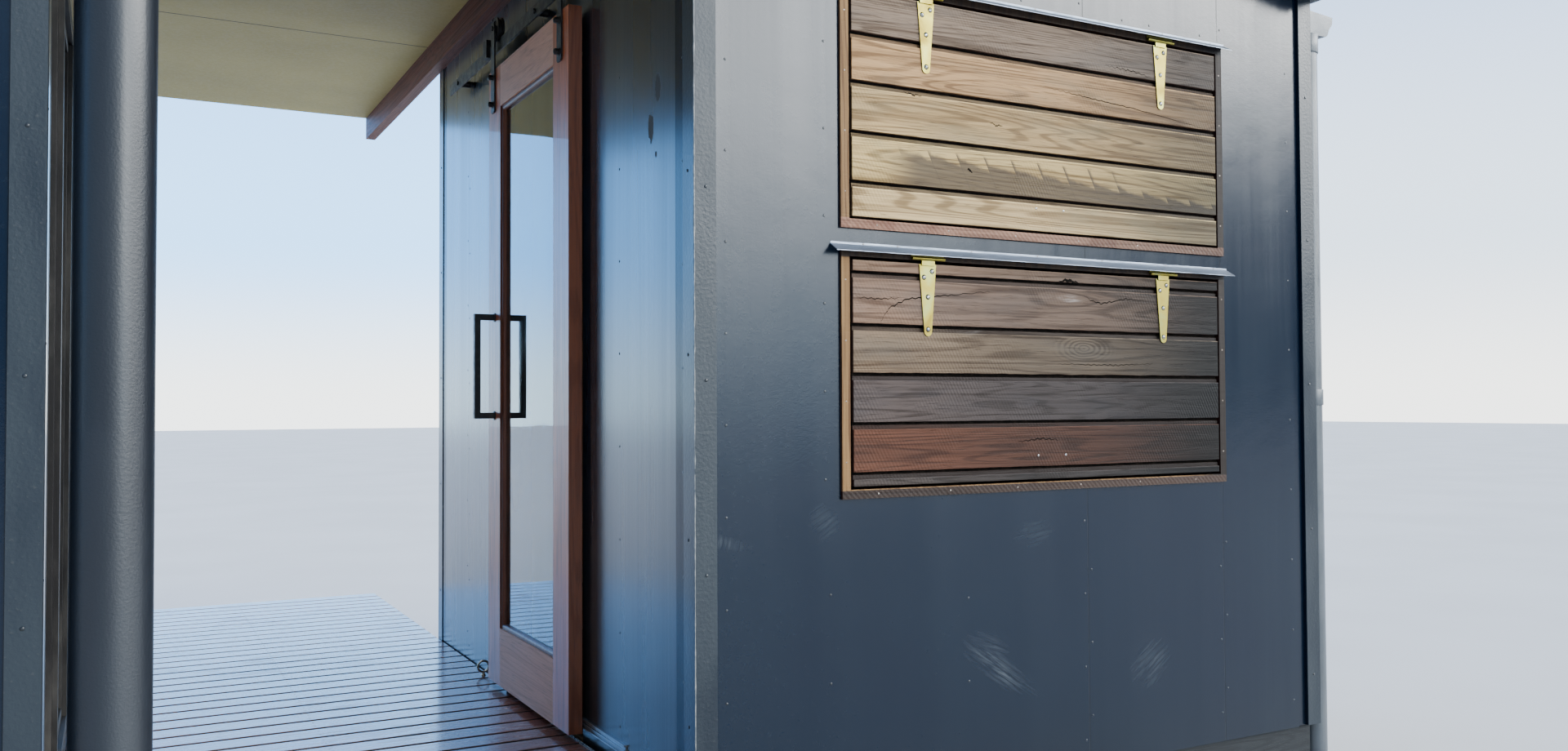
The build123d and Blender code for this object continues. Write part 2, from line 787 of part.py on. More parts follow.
# Sloping roof panels over the pods, ribs running down the slope
pod_roof_far = back_face + pod_back_overhang
eave_x = pod_outer + eave_overhang
with BuildPart() as pod_roofs:
    pod_roof_length = pod_roof_far - roof_near
    pod_rib_bays = round((pod_roof_length - 2 * rib_edge) / rib_pitch)
    pod_rib_pitch = (pod_roof_length - 2 * rib_edge) / pod_rib_bays
    down_slope = Plane(
        (passage_side, roof_near, inner_wall_top),
        x_dir=(0, 1, 0),
        z_dir=(cos(roof_angle), 0, -sin(roof_angle)),
    )
    with BuildSketch(down_slope) as section:
        with BuildLine():
            Polyline(
                *ribbed_outline(pod_roof_length, rib_edge, pod_rib_pitch, pod_rib_bays + 1),
                close=True,
            )
        make_face()
    extrude(section.sketch, amount=(eave_x - passage_side) / cos(roof_angle))
    mirror(about=Plane.YZ)

# Flat roof panel over the passage, ribs running front to back
passage_roof_half = passage_side + passage_roof_lap
with BuildPart() as breezeway_roof:
    first_rib = passage_roof_half - passage_rib_pitch * (passage_rib_count - 1) / 2
    outline = ribbed_outline(2 * passage_roof_half, first_rib, passage_rib_pitch, passage_rib_count)
    along_y([(x - passage_roof_half, beam_top + z) for x, z in outline], (roof_near, roof_far))

# Folded caps on the front and back edges of the roofs
with BuildPart() as barge_caps:
    rib_rise = (roof_panel + rib_height) / cos(roof_angle)
    cap_x = (passage_roof_half + cap_gap, eave_x)
    for edge, outward, inward in (
        (roof_near, -cap_sheet, cap_flange),
        (pod_roof_far, cap_sheet, -cap_flange),
    ):
        drop_y = sorted((edge, edge + outward))
        drop = [(x, roof_under(x) + rib_rise + cap_sheet) for x in cap_x]
        drop += [(x, roof_under(x) + rib_rise + cap_sheet - cap_drop) for x in reversed(cap_x)]
        along_y(drop, drop_y)
        flange = [(x, roof_under(x) + rib_rise) for x in cap_x]
        flange += [(x, roof_under(x) + rib_rise + cap_sheet) for x in reversed(cap_x)]
        along_y(flange, sorted((edge, edge + inward)))
    mirror(about=Plane.YZ)
    passage_rib_top = beam_top + roof_panel + rib_height
    passage_cap_x = (-passage_roof_half, passage_roof_half)
    for edge, outward, inward in (
        (roof_near, -cap_sheet, cap_flange),
        (roof_far, cap_sheet, -cap_flange),
    ):
        top = passage_rib_top + cap_sheet
        block(passage_cap_x, sorted((edge, edge + outward)), (top - cap_drop, top))
        block(passage_cap_x, sorted((edge, edge + inward)), (passage_rib_top, top))

# Column at the front of the passage
with BuildPart() as column:
    column_x = column_from_wall - passage_side
    column_y = front_face + column_from_front
    with Locations((column_x, column_y, (deck_height + beam_under) / 2)):
        Cylinder(column_radius, beam_under - deck_height)

# Quad gutters along the outer walls
gutter_top = roof_under(eave_x) - gutter_under_eave
gutter_bottom = gutter_top - gutter_height
gutter_lip = gutter_top - gutter_lip_drop
with BuildPart() as gutters:
    gutter_near = front_face + gutter_near_setback
    gutter_back = outer_trim_x
    lip_x = gutter_back + gutter_width
    belly_x = lip_x - gutter_belly
    fold = gutter_height / gutter_folds
    with BuildSketch(Plane.XZ.offset(-gutter_near)) as section:
        with BuildLine():
            Line((gutter_back, gutter_top), (gutter_back, gutter_bottom))
            Line((gutter_back, gutter_bottom), (belly_x, gutter_bottom))
            Spline(
                (belly_x, gutter_bottom),
                (belly_x + gutter_belly * gutter_belly_share, gutter_bottom + fold * 2),
                (lip_x, gutter_lip - fold),
                tangents=((1, 0), (0, 1)),
            )
            Line((lip_x, gutter_lip - fold), (lip_x, gutter_lip))
            Line((lip_x, gutter_lip), (gutter_back, gutter_top))
        make_face()
    extrude(section.sketch, amount=-(back_face - gutter_near))
    mouth = gutters.faces().sort_by(Axis.Z)[-1]
    offset(amount=-gutter_sheet, openings=mouth)
    mirror(about=Plane.YZ)

# Downpipes with a turned-out shoe and wall brackets
with BuildPart() as downpipes:
    pipe_x = outer_trim_x + downpipe_gap + downpipe_radius
    pipe_y = front_face + downpipe_setback
    turn = radians(shoe_turn)
    with BuildLine() as path:
        straight = Line((pipe_x, pipe_y, gutter_bottom), (pipe_x, pipe_y, downpipe_foot))
        ThreePointArc(
            straight @ 1,
            (
                pipe_x,
                pipe_y - shoe_radius * (1 - cos(turn / 2)),
                downpipe_foot - shoe_radius * sin(turn / 2),
            ),
            (pipe_x, pipe_y - shoe_radius * (1 - cos(turn)), downpipe_foot - shoe_radius * sin(turn)),
        )
    with BuildSketch(Plane.XY.offset(gutter_bottom)) as ring:
        with Locations((pipe_x, pipe_y)):
            Circle(downpipe_radius)
    sweep(ring.sketch, path=path.line)
    bracket_step = (gutter_bottom - downpipe_foot) / bracket_count
    for bracket in range(bracket_count):
        bracket_z = downpipe_foot + bracket_step * (bracket + 0.5)
        bracket_y = (pipe_y - bracket_width / 2, pipe_y + bracket_width / 2)
        block((outer_trim_x, pipe_x), bracket_y, (bracket_z, bracket_z + bracket_height))
    mirror(about=Plane.YZ)

# Two-light window: frame with mullion, and its panes
window_middle = (window_near + window_far) / 2
light_y = (
    (window_near + window_frame_face, window_middle - window_mullion / 2),
    (window_middle + window_mullion / 2, window_far - window_frame_face),
)
light_z = (deck_height + window_frame_face, window_top - window_frame_face)
with BuildPart() as window_frame:
    window_x = (-passage_side - window_frame_depth, -passage_side)
    block(window_x, (window_near, window_far), (deck_height, window_top))
    for light in light_y:
        block(window_x, light, light_z, mode=Mode.SUBTRACT)

with BuildPart() as window_glass:
    pane_middle = -passage_side - window_frame_depth / 2
    pane_x = (pane_middle - window_glass_thickness / 2, pane_middle + window_glass_thickness / 2)
    for light in light_y:
        block(pane_x, light, light_z)

pieces = {
    "floors": floors,
    "base_boards": base_boards,
    "front_wall_sides": front_wall_sides,
    "front_wall_panels": front_wall_panels,
    "left_front_wall": left_front_wall,
    "door_wall_sides": door_wall_sides,
    "left_wall_sides": left_wall_sides,
    "wall_heads": wall_heads,
    "back_walls": back_walls,
    "outer_walls": outer_walls,
    "corner_trims": corner_trims,
    "hatch_battens": hatch_battens,
    "flashings": flashings,
    "hinge_plates": hinge_plates,
    "upper_hatch_boards": upper_hatch_boards,
    "lower_hatch_boards": lower_hatch_boards,
    "upper_hinge_straps": upper_hinge_straps,
    "lower_hinge_straps": lower_hinge_straps,
    "door_stiles": door_stiles,
    "door_rails": door_rails,
    "door_glass": door_glass,
    "door_beads": door_beads,
    "door_handle": door_handle,
    "door_hangers": door_hangers,
    "near_wheel": near_wheel,
    "far_wheel": far_wheel,
    "barn_rail": barn_rail,
    "rail_stops": rail_stops,
    "wall_channel": wall_channel,
    "deck": deck,
    "deck_joists": deck_joists,
    "deck_posts": deck_posts,
    "edge_angle": edge_angle,
    "eye_bolt": eye_bolt,
    "roof_beams": roof_beams,
    "soffit": soffit,
    "roof_rafters": roof_rafters,
    "breezeway_roof": breezeway_roof,
    "pod_roofs": pod_roofs,
    "barge_caps": barge_caps,
    "column": column,
    "gutters": gutters,
    "downpipes": downpipes,
    "window_frame": window_frame,
    "window_glass": window_glass,
}

os.makedirs("parts", exist_ok=True)
for name, piece in pieces.items():
    piece.part.label = name
    export_step(piece.part, f"parts/{name}.step")
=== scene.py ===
import math

import bmesh
import bpy
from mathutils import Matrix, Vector


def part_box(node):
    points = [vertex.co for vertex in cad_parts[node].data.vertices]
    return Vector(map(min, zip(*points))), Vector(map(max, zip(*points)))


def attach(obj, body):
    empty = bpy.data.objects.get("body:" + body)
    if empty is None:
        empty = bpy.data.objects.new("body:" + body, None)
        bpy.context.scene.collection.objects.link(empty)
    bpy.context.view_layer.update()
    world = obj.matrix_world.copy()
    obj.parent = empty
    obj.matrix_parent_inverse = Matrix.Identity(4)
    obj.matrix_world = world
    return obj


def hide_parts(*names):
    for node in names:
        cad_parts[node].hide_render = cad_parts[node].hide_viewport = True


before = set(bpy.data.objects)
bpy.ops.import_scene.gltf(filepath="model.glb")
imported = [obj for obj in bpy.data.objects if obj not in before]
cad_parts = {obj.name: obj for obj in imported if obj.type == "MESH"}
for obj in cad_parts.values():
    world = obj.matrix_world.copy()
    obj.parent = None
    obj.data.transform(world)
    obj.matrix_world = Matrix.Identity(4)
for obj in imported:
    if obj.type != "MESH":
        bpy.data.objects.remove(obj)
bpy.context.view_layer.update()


# The studio: a pale floor out to the horizon, a sky that the camera sees plain and bright,
# a soft glow over the camera's right shoulder that only the surfaces reflect, and a broad
# soft sun from behind. The camera stands 1.36 m above the ground.
class Reading:
    """a value read at each point of a finish, which plain arithmetic can combine"""

    def __init__(self, output):
        self.output = output

    def __add__(self, other):
        return reckon("ADD", self, other)

    def __sub__(self, other):
        return reckon("SUBTRACT", self, other)

    def __rsub__(self, other):
        return reckon("SUBTRACT", other, self)

    def __mul__(self, other):
        return reckon("MULTIPLY", self, other)

    def __truediv__(self, other):
        return reckon("DIVIDE", self, other)

    def __pow__(self, other):
        return reckon("POWER", self, other)

    def __mod__(self, other):
        return reckon("MODULO", self, other)

    def __abs__(self):
        return reckon("ABSOLUTE", self)


def fresh(kind, *terms):
    """a new node beside the nodes that the terms come from"""
    return next(term.output.id_data for term in terms if isinstance(term, Reading)).nodes.new(kind)


def wire(value, socket):
    """a link where the value comes from another node, and otherwise a plain number or colour"""
    if isinstance(value, Reading):
        socket.id_data.links.new(value.output, socket)
    elif isinstance(value, tuple) and len(value) == 3 and socket.type == "RGBA":
        socket.default_value = (*value, 1.0)
    else:
        socket.default_value = value


def give(made, socket, value):
    """one of the shader's own inputs"""
    wire(value, made.node_tree.nodes["Principled BSDF"].inputs[socket])


def new_finish(name, roughness=0.5, metallic=0.0, coat=0.0, specular=0.5):
    """a finish with the values that are the same all over set on the shader itself"""
    made = bpy.data.materials.new(name)
    made.use_nodes = True
    for socket, value in (
        ("Roughness", roughness), ("Metallic", metallic), ("Coat Weight", coat), ("Specular IOR Level", specular),
    ):
        give(made, socket, value)
    return made


def lie(made, scale=(1.0, 1.0, 1.0)):
    """the building's own coordinates, stretched for a pattern"""
    place = made.node_tree.nodes.new("ShaderNodeTexCoord")
    laid = made.node_tree.nodes.new("ShaderNodeMapping")
    laid.inputs["Scale"].default_value = scale
    wire(Reading(place.outputs["Object"]), laid.inputs["Vector"])
    return Reading(laid.outputs["Vector"])


def axes(vector):
    """a place or direction as three numbers"""
    split = fresh("ShaderNodeSeparateXYZ", vector)
    wire(vector, split.inputs[0])
    return [Reading(output) for output in split.outputs]


def apart(made):
    """the building's coordinates as three numbers"""
    return axes(lie(made))


def mottle(where, scale, detail=3.0, rough=0.5, distortion=0.0):
    """cloudy unevenness between 0 and 1, laid on a finish's own coordinates or on others"""
    if isinstance(where, bpy.types.Material):
        where = lie(where)
    cloud = fresh("ShaderNodeTexNoise", where)
    for socket, value in (
        ("Vector", where), ("Scale", scale), ("Detail", detail), ("Roughness", rough), ("Distortion", distortion),
    ):
        wire(value, cloud.inputs[socket])
    return Reading(cloud.outputs["Fac"])


def reckon(operation, *terms):
    """arithmetic on the numbers that drive a finish"""
    sum_node = fresh("ShaderNodeMath", *terms)
    sum_node.operation = operation
    for term, socket in zip(terms, sum_node.inputs):
        wire(term, socket)
    return Reading(sum_node.outputs[0])


def spread(value, low, high, to_low=0.0, to_high=1.0):
    """a value carried from one range to another, and held there"""
    change = fresh("ShaderNodeMapRange", value)
    change.interpolation_type = "SMOOTHSTEP"
    for socket, number in (
        ("Value", value), ("From Min", low), ("From Max", high), ("To Min", to_low), ("To Max", to_high)
    ):
        wire(number, change.inputs[socket])
    return Reading(change.outputs[0])


def mixed(share, first, second, how="MIX"):
    """two colours in the given shares"""
    blend = fresh("ShaderNodeMix", share, first, second)
    blend.data_type = "RGBA"
    blend.blend_type = how
    for place, value in ((0, share), (6, first), (7, second)):
        wire(value, blend.inputs[place])
    return Reading(blend.outputs[2])


def tinted(colour, tint):
    """a colour multiplied by another"""
    return mixed(1.0, colour, tint, "MULTIPLY")


def shades(share, *stops, stepped=False):
    """a run of colours picked by a value from 0 to 1"""
    band = fresh("ShaderNodeValToRGB", share)
    ramp = band.color_ramp
    ramp.interpolation = "CONSTANT" if stepped else "EASE"
    while len(ramp.elements) < len(stops):
        ramp.elements.new(1.0)
    for element, (position, colour) in zip(ramp.elements, stops):
        element.position = position
        element.color = (*colour, 1.0)
    wire(share, band.inputs[0])
    return Reading(band.outputs[0])


def relief(made, height, depth, under=None):
    """a raised and hollowed surface, its depth in metres"""
    bump = fresh("ShaderNodeBump", height)
    bump.inputs["Distance"].default_value = depth
    wire(height, bump.inputs["Height"])
    if under is not None:
        wire(under, bump.inputs["Normal"])
    risen = Reading(bump.outputs[0])
    give(made, "Normal", risen)
    return risen


def dress(made, colour, height, depth, roughness=None):
    """the colour, the relief and the roughness of a finish, each from a pattern of its own"""
    give(made, "Base Color", colour)
    relief(made, height, depth)
    if roughness is not None:
        give(made, "Roughness", roughness)


floor_finish = new_finish("studio floor", 0.75)
give(
    floor_finish, "Base Color",
    shades(mottle(floor_finish, 0.6), (0.3, (0.62, 0.56, 0.47)), (0.7, (0.66, 0.60, 0.51)))
)
bpy.ops.object.select_all(action="DESELECT")
bpy.ops.mesh.primitive_plane_add(size=160, location=(0, 0, 0))
studio_floor = bpy.context.active_object
studio_floor.name = "studio_floor"
studio_floor.data.materials.append(floor_finish)

sky = bpy.data.worlds.new("soft sky")
sky.use_nodes = True
sky_nodes = sky.node_tree.nodes
sky_x, sky_y, sky_z = axes(Reading(sky_nodes.new("ShaderNodeTexCoord").outputs["Generated"]))
bright_side = shades(
    sky_z, (0.0, (1.00, 1.05, 1.06)), (0.13, (0.36, 0.76, 1.30)), (0.42, (0.20, 0.44, 1.00)),
    (1.0, (0.12, 0.23, 0.50))
)
bright_side = mixed(spread(sky_x, -0.02, -0.26), bright_side, tinted(bright_side, (0.72, 0.95, 1.16)))
pale_side = shades(
    sky_z, (0.0, (1.00, 1.02, 1.00)), (0.13, (0.60, 0.72, 0.86)), (0.42, (0.26, 0.42, 0.74)),
    (1.0, (0.12, 0.23, 0.44))
)
bright_side = mixed(spread(sky_x, 0.20, 0.38), bright_side, pale_side)
quiet_side = shades(
    sky_z, (0.0, (0.055, 0.068, 0.076)), (0.10, (0.090, 0.115, 0.140)), (0.30, (0.28, 0.35, 0.44)),
    (1.0, (0.09, 0.16, 0.28))
)
low_glow = shades(
    sky_z, (0.0, (1.15, 1.50, 1.80)), (0.075, (1.75, 2.15, 2.45)), (0.150, (3.75, 4.15, 4.35)),
    (0.230, (7.20, 7.60, 7.80)), (0.34, (9.20, 9.60, 9.70)), (0.50, (1.60, 1.70, 1.80)), (1.0, (0.09, 0.16, 0.28))
)
high_glow = shades(
    sky_z, (0.0, (0.004, 0.008, 0.014)), (0.120, (0.020, 0.040, 0.080)), (0.185, (0.22, 0.30, 0.42)),
    (0.230, (3.00, 3.25, 3.40)), (0.30, (10.5, 10.7, 10.6)), (0.48, (1.60, 1.70, 1.80)), (1.0, (0.09, 0.16, 0.28))
)
front_glow = mixed(spread(sky_x, 0.44, 0.80), low_glow, high_glow)
quiet_side = mixed(spread(sky_x, 0.16, 0.44), quiet_side, front_glow)
sky_colour = mixed(spread(sky_y, -0.35, 0.15), quiet_side, bright_side)
sky_seen = Reading(sky_nodes.new("ShaderNodeLightPath").outputs["Is Camera Ray"])
wire(mixed(sky_seen, sky_colour, bright_side), sky_nodes["Background"].inputs["Color"])
sky_nodes["Background"].inputs["Strength"].default_value = 3.4
bpy.context.scene.world = sky

bpy.ops.object.select_all(action="DESELECT")
bpy.ops.object.light_add(type="SUN", location=(0, 12, 14), rotation=(math.radians(-40), 0, math.radians(8)))
back_sun = bpy.context.active_object
back_sun.name = "soft sun"
back_sun.data.energy = 0.8
back_sun.data.angle = math.radians(40)
back_sun.data.color = (1.0, 0.88, 0.70)

bpy.ops.object.camera_add(
    location=(-0.531, -4.503, 1.360), rotation=[math.radians(turn) for turn in (91.4204, 0.2631, -28.6748)]
)
camera = bpy.context.active_object
camera.data.sensor_width = 36.0
camera.data.lens = 28.151
camera.data.clip_start = 0.05
camera.data.clip_end = 300
bpy.context.scene.camera = camera


# The base: sawn hardwood boards stained nearly black, set back under the walls, and the
# square posts under the deck. They are nailed to bearers and stand on the ground.
def block(low, high):
    """a squared block between two corners, its object at the origin"""
    middle = [(a + b) / 2 for a, b in zip(low, high)]
    size = [b - a for a, b in zip(low, high)]
    bpy.ops.object.select_all(action="DESELECT")
    bpy.ops.mesh.primitive_cube_add(size=1, location=middle, scale=size)
    bpy.ops.object.transform_apply(location=True, rotation=True, scale=True)
    return bpy.context.active_object


def rod(centre, radius, depth, sides, lean=(0, 0, 0)):
    """a round or many-sided rod, upright unless it is leant over, its object at the origin"""
    bpy.ops.object.select_all(action="DESELECT")
    bpy.ops.mesh.primitive_cylinder_add(vertices=sides, radius=radius, depth=depth, location=centre, rotation=lean)
    bpy.ops.object.transform_apply(location=True, rotation=True, scale=True)
    return bpy.context.active_object


def eased(piece, width, rounds=2):
    """the piece with its sharp edges rounded over"""
    bpy.context.view_layer.objects.active = piece
    easing = piece.modifiers.new("eased edges", "BEVEL")
    easing.width = width
    easing.segments = rounds
    easing.limit_method = "ANGLE"
    easing.angle_limit = math.radians(35)
    bpy.ops.object.modifier_apply(modifier=easing.name)
    return piece


def cut_across(piece, axis, longest, cuts):
    """the edges that run a long way along one axis, cut into short lengths"""
    bpy.ops.object.mode_set(mode="EDIT")
    bpy.ops.mesh.select_all(action="DESELECT")
    shape = bmesh.from_edit_mesh(piece.data)
    for edge in shape.edges:
        edge.select_set(abs(edge.verts[0].co[axis] - edge.verts[1].co[axis]) > longest)
    bmesh.update_edit_mesh(piece.data)
    bpy.ops.mesh.subdivide(number_cuts=cuts)
    bpy.ops.object.mode_set(mode="OBJECT")


def lumped(piece, clouds, height, middle, group=None):
    """the piece's points moved in and out by a cloudy pattern, or up and down where a group is named"""
    shift = piece.modifiers.new("lumps", "DISPLACE")
    shift.texture = clouds
    shift.texture_coords = "GLOBAL"
    shift.strength = height
    shift.mid_level = middle
    if group is not None:
        shift.direction = "Z"
        shift.vertex_group = group
    bpy.context.view_layer.objects.active = piece
    bpy.ops.object.modifier_apply(modifier=shift.name)


def repeated(piece, count, step):
    """the piece and its copies set out at an even step"""
    bpy.context.view_layer.objects.active = piece
    row = piece.modifiers.new("row", "ARRAY")
    row.count = count
    row.use_relative_offset = False
    row.use_constant_offset = True
    row.constant_offset_displace = step
    bpy.ops.object.modifier_apply(modifier=row.name)
    return piece


def coat(piece, made):
    """one finish all over a new piece"""
    piece.data.materials.clear()
    piece.data.materials.append(made)


def gathered(name, pieces, made=None):
    """several meshes made one, under one finish"""
    bpy.ops.object.select_all(action="DESELECT")
    for piece in pieces:
        piece.select_set(True)
    bpy.context.view_layer.objects.active = pieces[0]
    if len(pieces) > 1:
        bpy.ops.object.join()
    whole = bpy.context.active_object
    whole.name = name
    if made is not None:
        coat(whole, made)
    return whole


def coat_node(made, *names):
    """a finish on pieces carried over from the construction"""
    for name in names:
        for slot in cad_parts[name].material_slots:
            slot.material = made


def grain_of(made, along, rings, jog=None):
    """growth rings cut into long figures, bands and fibres along the grain, and open pores"""
    reach = {
        "X": ((0.6, 10.0, 10.0), (2.2, 190.0, 190.0), (16.0, 620.0, 620.0), (0.5, 36.0, 36.0)),
        "Y": ((10.0, 0.6, 10.0), (190.0, 2.2, 190.0), (620.0, 16.0, 620.0), (36.0, 0.5, 36.0)),
        "Z": ((10.0, 10.0, 0.6), (190.0, 190.0, 2.2), (620.0, 620.0, 16.0), (36.0, 36.0, 0.5)),
    }[along]
    places = []
    for stretch in reach:
        place = lie(made, stretch)
        if jog is not None:
            moved = fresh("ShaderNodeVectorMath", place)
            wire(place, moved.inputs[0])
            wire(jog(made), moved.inputs[1])
            place = Reading(moved.outputs[0])
        places.append(place)
    figure = mottle(places[0], 1.0, 2.0, 0.45, 0.4)
    lines = spread(reckon("SINE", figure * (rings * 24.0)), -1.0, 0.0)
    fibres = mottle(places[1], 1.0, 5.0, 0.65)
    pores = spread(mottle(places[2], 1.0, 2.0, 0.5), 0.60, 0.70)
    bands = spread(mottle(places[3], 1.0, 4.0, 0.62, 0.1), 0.30, 0.70)
    grain = lines * 0.18 + (fibres * 0.62 + bands * 0.20)
    return grain, fibres, pores


def timber(name, along, pale, dark, roughness, coat_weight=0.0, rings=6.0, jog=None, specular=0.5):
    """sawn timber in two shades of one wood"""
    made = new_finish(name, coat=coat_weight, specular=specular)
    grain, fibres, pores = grain_of(made, along, rings, jog)
    wood = shades(grain, (0.18, dark), (0.78, pale))
    deep = tuple(0.45 * part for part in dark)
    wood = mixed(pores * 0.55, wood, deep)
    dress(made, wood, grain * 0.6 - pores * 0.5, 0.0006, spread(fibres, 0.2, 0.8, roughness + 0.10, roughness - 0.06))
    return made, wood


base_finish, base_wood = timber(
    "stained base boards", "X", (0.012, 0.015, 0.018), (0.004, 0.005, 0.007), 0.62, specular=0.25
)
base_z = apart(base_finish)[2]
base_lift = reckon("PINGPONG", base_z, 0.0915)
base_seam = spread(base_lift, 0.0, 0.003, 1.0, 0.0)
base_dust = spread(base_z + mottle(base_finish, 6.0) * 0.12, 0.06, 0.24, 0.55, 0.0)
base_colour = mixed(base_dust, base_wood, (0.085, 0.065, 0.048))
give(base_finish, "Base Color", mixed(base_seam, base_colour, (0.004, 0.004, 0.004)))
coat_node(base_finish, "base_boards", "deck_posts")


# The pod floors: sealed plywood sheets on the bearers, run through the walls as a
# threshold under the sliding door and the window.
floor_ply, _ = timber("sealed plywood floor", "Y", (0.46, 0.31, 0.17), (0.27, 0.16, 0.085), 0.38, 0.25, rings=4.0)
coat_node(floor_ply, "floors")


# The deck: oiled hardwood boards laid across the passage on three joists, a finger's
# gap apart, two screws over each joist. Walked pale in patches, glossy between them,
# and cut short along the right wall near the front, where the slotted angle is fixed.
deck_low, deck_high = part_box("deck")
deck_near = deck_low.y
board_count = 37
short_boards = 10
board_gap = 0.010
board_pitch = (deck_high.y - deck_low.y + board_gap) / board_count
board_width = board_pitch - board_gap
short_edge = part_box("edge_angle")[0].x


def board_number(made):
    """which deck board a point lies on, counted from the front"""
    away = apart(made)[1]
    return reckon("FLOOR", (away - deck_near) / board_pitch)


def chance(number, output):
    """a value or colour of its own for every number"""
    spot = fresh("ShaderNodeTexWhiteNoise", number)
    spot.noise_dimensions = "1D"
    wire(number, spot.inputs["W"])
    return Reading(spot.outputs[output])


def board_jog(made):
    """a shift of the grain from board to board, so that no two are cut from one length"""
    spot = chance(board_number(made), "Color")
    jump = fresh("ShaderNodeVectorMath", spot)
    jump.operation = "SCALE"
    wire(spot, jump.inputs[0])
    jump.inputs["Scale"].default_value = 40.0
    return Reading(jump.outputs[0])


def facing_of(made):
    """which way the surface faces, as three numbers"""
    return axes(Reading(made.node_tree.nodes.new("ShaderNodeNewGeometry").outputs["Normal"]))


deck_finish, deck_wood = timber(
    "oiled deck boards", "X", (0.400, 0.150, 0.100), (0.180, 0.062, 0.042), 0.24, 0.50, rings=5.0, jog=board_jog
)
deck_tone = chance(board_number(deck_finish) + 7.3, "Value")
deck_colour = mixed(deck_tone * 0.35, deck_wood, (0.17, 0.085, 0.055))
deck_worn = spread(
    mottle(lie(deck_finish, (1.3, 2.2, 1.0)), 1.6, 5.0, 0.62, 0.6)
    * mottle(lie(deck_finish, (3.0, 22.0, 1.0)), 2.0, 4.0, 0.6),
    0.27, 0.42, 0.0, 0.55
)
deck_colour = mixed(deck_worn, deck_colour, (0.34, 0.24, 0.20))
# Off the top faces, the board sides and eased edges are painted nearly black as painted shade in the gaps between
# boards.
deck_top = spread(facing_of(deck_finish)[2], 0.80, 0.98)
give(deck_finish, "Base Color", mixed(deck_top, (0.012, 0.006, 0.005), deck_colour))
give(deck_finish, "Roughness", spread(deck_worn, 0.0, 0.5, 0.20, 0.38) + spread(deck_top, 0.0, 1.0, 0.55, 0.0))
give(deck_finish, "Coat Weight", deck_top * 0.50)
give(deck_finish, "Coat Roughness", 0.10)

board_rows = []
for near, right, count in (
    (deck_near + short_boards * board_pitch, deck_high.x, board_count - short_boards),
    (deck_near, short_edge, short_boards),
):
    board = eased(block((deck_low.x, near, deck_low.z), (right, near + board_width, deck_high.z)), 0.004)
    board_rows.append(repeated(board, count, (0, board_pitch, 0)))
deck_boards = gathered("deck_boards", board_rows, deck_finish)
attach(deck_boards, "building")
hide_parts("deck")


def nail(centre, radius, rise, facing, sides=10, count=1, step=None):
    """a low domed head, half of a flattened ball facing one of the axes, or an even row of them"""
    bpy.ops.object.select_all(action="DESELECT")
    bpy.ops.mesh.primitive_uv_sphere_add(segments=sides, ring_count=6, radius=radius, location=centre)
    head = bpy.context.active_object
    bpy.ops.object.transform_apply(location=True, rotation=True, scale=True)
    axis = Vector(facing)
    squeeze = tuple(rise / radius if abs(part) > 0.5 else 1.0 for part in axis)
    bpy.ops.object.mode_set(mode="EDIT")
    bpy.ops.mesh.select_all(action="SELECT")
    bpy.ops.transform.resize(value=squeeze, center_override=centre)
    bpy.ops.mesh.bisect(plane_co=centre, plane_no=axis, clear_inner=True, use_fill=True)
    bpy.ops.object.mode_set(mode="OBJECT")
    bpy.ops.object.shade_smooth_by_angle(angle=math.radians(50))
    return head if step is None else repeated(head, count, step)


screw_steel = new_finish("dulled screw heads", 0.42, metallic=0.85)
dress(
    screw_steel, shades(mottle(screw_steel, 160.0), (0.3, (0.12, 0.09, 0.07)), (0.7, (0.28, 0.25, 0.22))),
    mottle(screw_steel, 900.0), 0.0002
)
joist_low, joist_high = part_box("deck_joists")
half_joist = 0.0225
joist_lines = (joist_low.x + half_joist, 0.0, joist_high.x - half_joist)
screw_radius, deck_screw_rise, screw_inset = 0.0042, 0.0011, 0.026
deck_screws = []
for joist_line in joist_lines:
    for inset in (screw_inset, board_width - screw_inset):
        place = (joist_line, deck_near + inset, deck_high.z - 0.0006)
        deck_screws.append(nail(place, screw_radius, deck_screw_rise, (0, 0, 1), 10, board_count, (0, board_pitch, 0)))
deck_screws = gathered("deck_screws", deck_screws, screw_steel)
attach(deck_screws, "building")

joist_finish, _ = timber(
    "reddish sawn framing", "Y", (0.200, 0.075, 0.040), (0.088, 0.030, 0.018), 0.48, 0.1, rings=6.0
)
coat_node(joist_finish, "deck_joists")


# The wall cladding: flat sheets painted a satin slate blue, nailed to the studs through
# their faces, with hairline joints between sheets. Rain and hands have left washed
# streaks, a few chips down to the board and dusty smears low on the front, and the
# washing is painted lighter towards the top of the walls, partly as painted sheen.
# Inside, the same walls are lined with pale sealed board.
front_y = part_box("front_wall_panels")[0].y
back_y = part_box("back_walls")[1].y
inner_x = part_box("door_wall_sides")[0].x
outer_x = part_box("outer_walls")[1].x
wall_slate = (0.0006, 0.0050, 0.0145)
wall_washed_and_sheen = (0.0034, 0.0105, 0.0215)
lining_depth = 0.093


def place_of(*parts):
    """a place put together from its coordinates"""
    place = fresh("ShaderNodeCombineXYZ", *parts)
    for part, socket in zip(parts, place.inputs):
        wire(part, socket)
    return Reading(place.outputs[0])


def sheet_joints(across, joints, half_width=0.0011):
    """how near a point is to an upright joint between sheets, 1 in the joint and 0 off it"""
    near = None
    for joint in joints:
        line = spread(abs(across - joint), half_width * 0.6, half_width * 1.6, 1.0, 0.0)
        near = line if near is None else reckon("MAXIMUM", near, line)
    return near


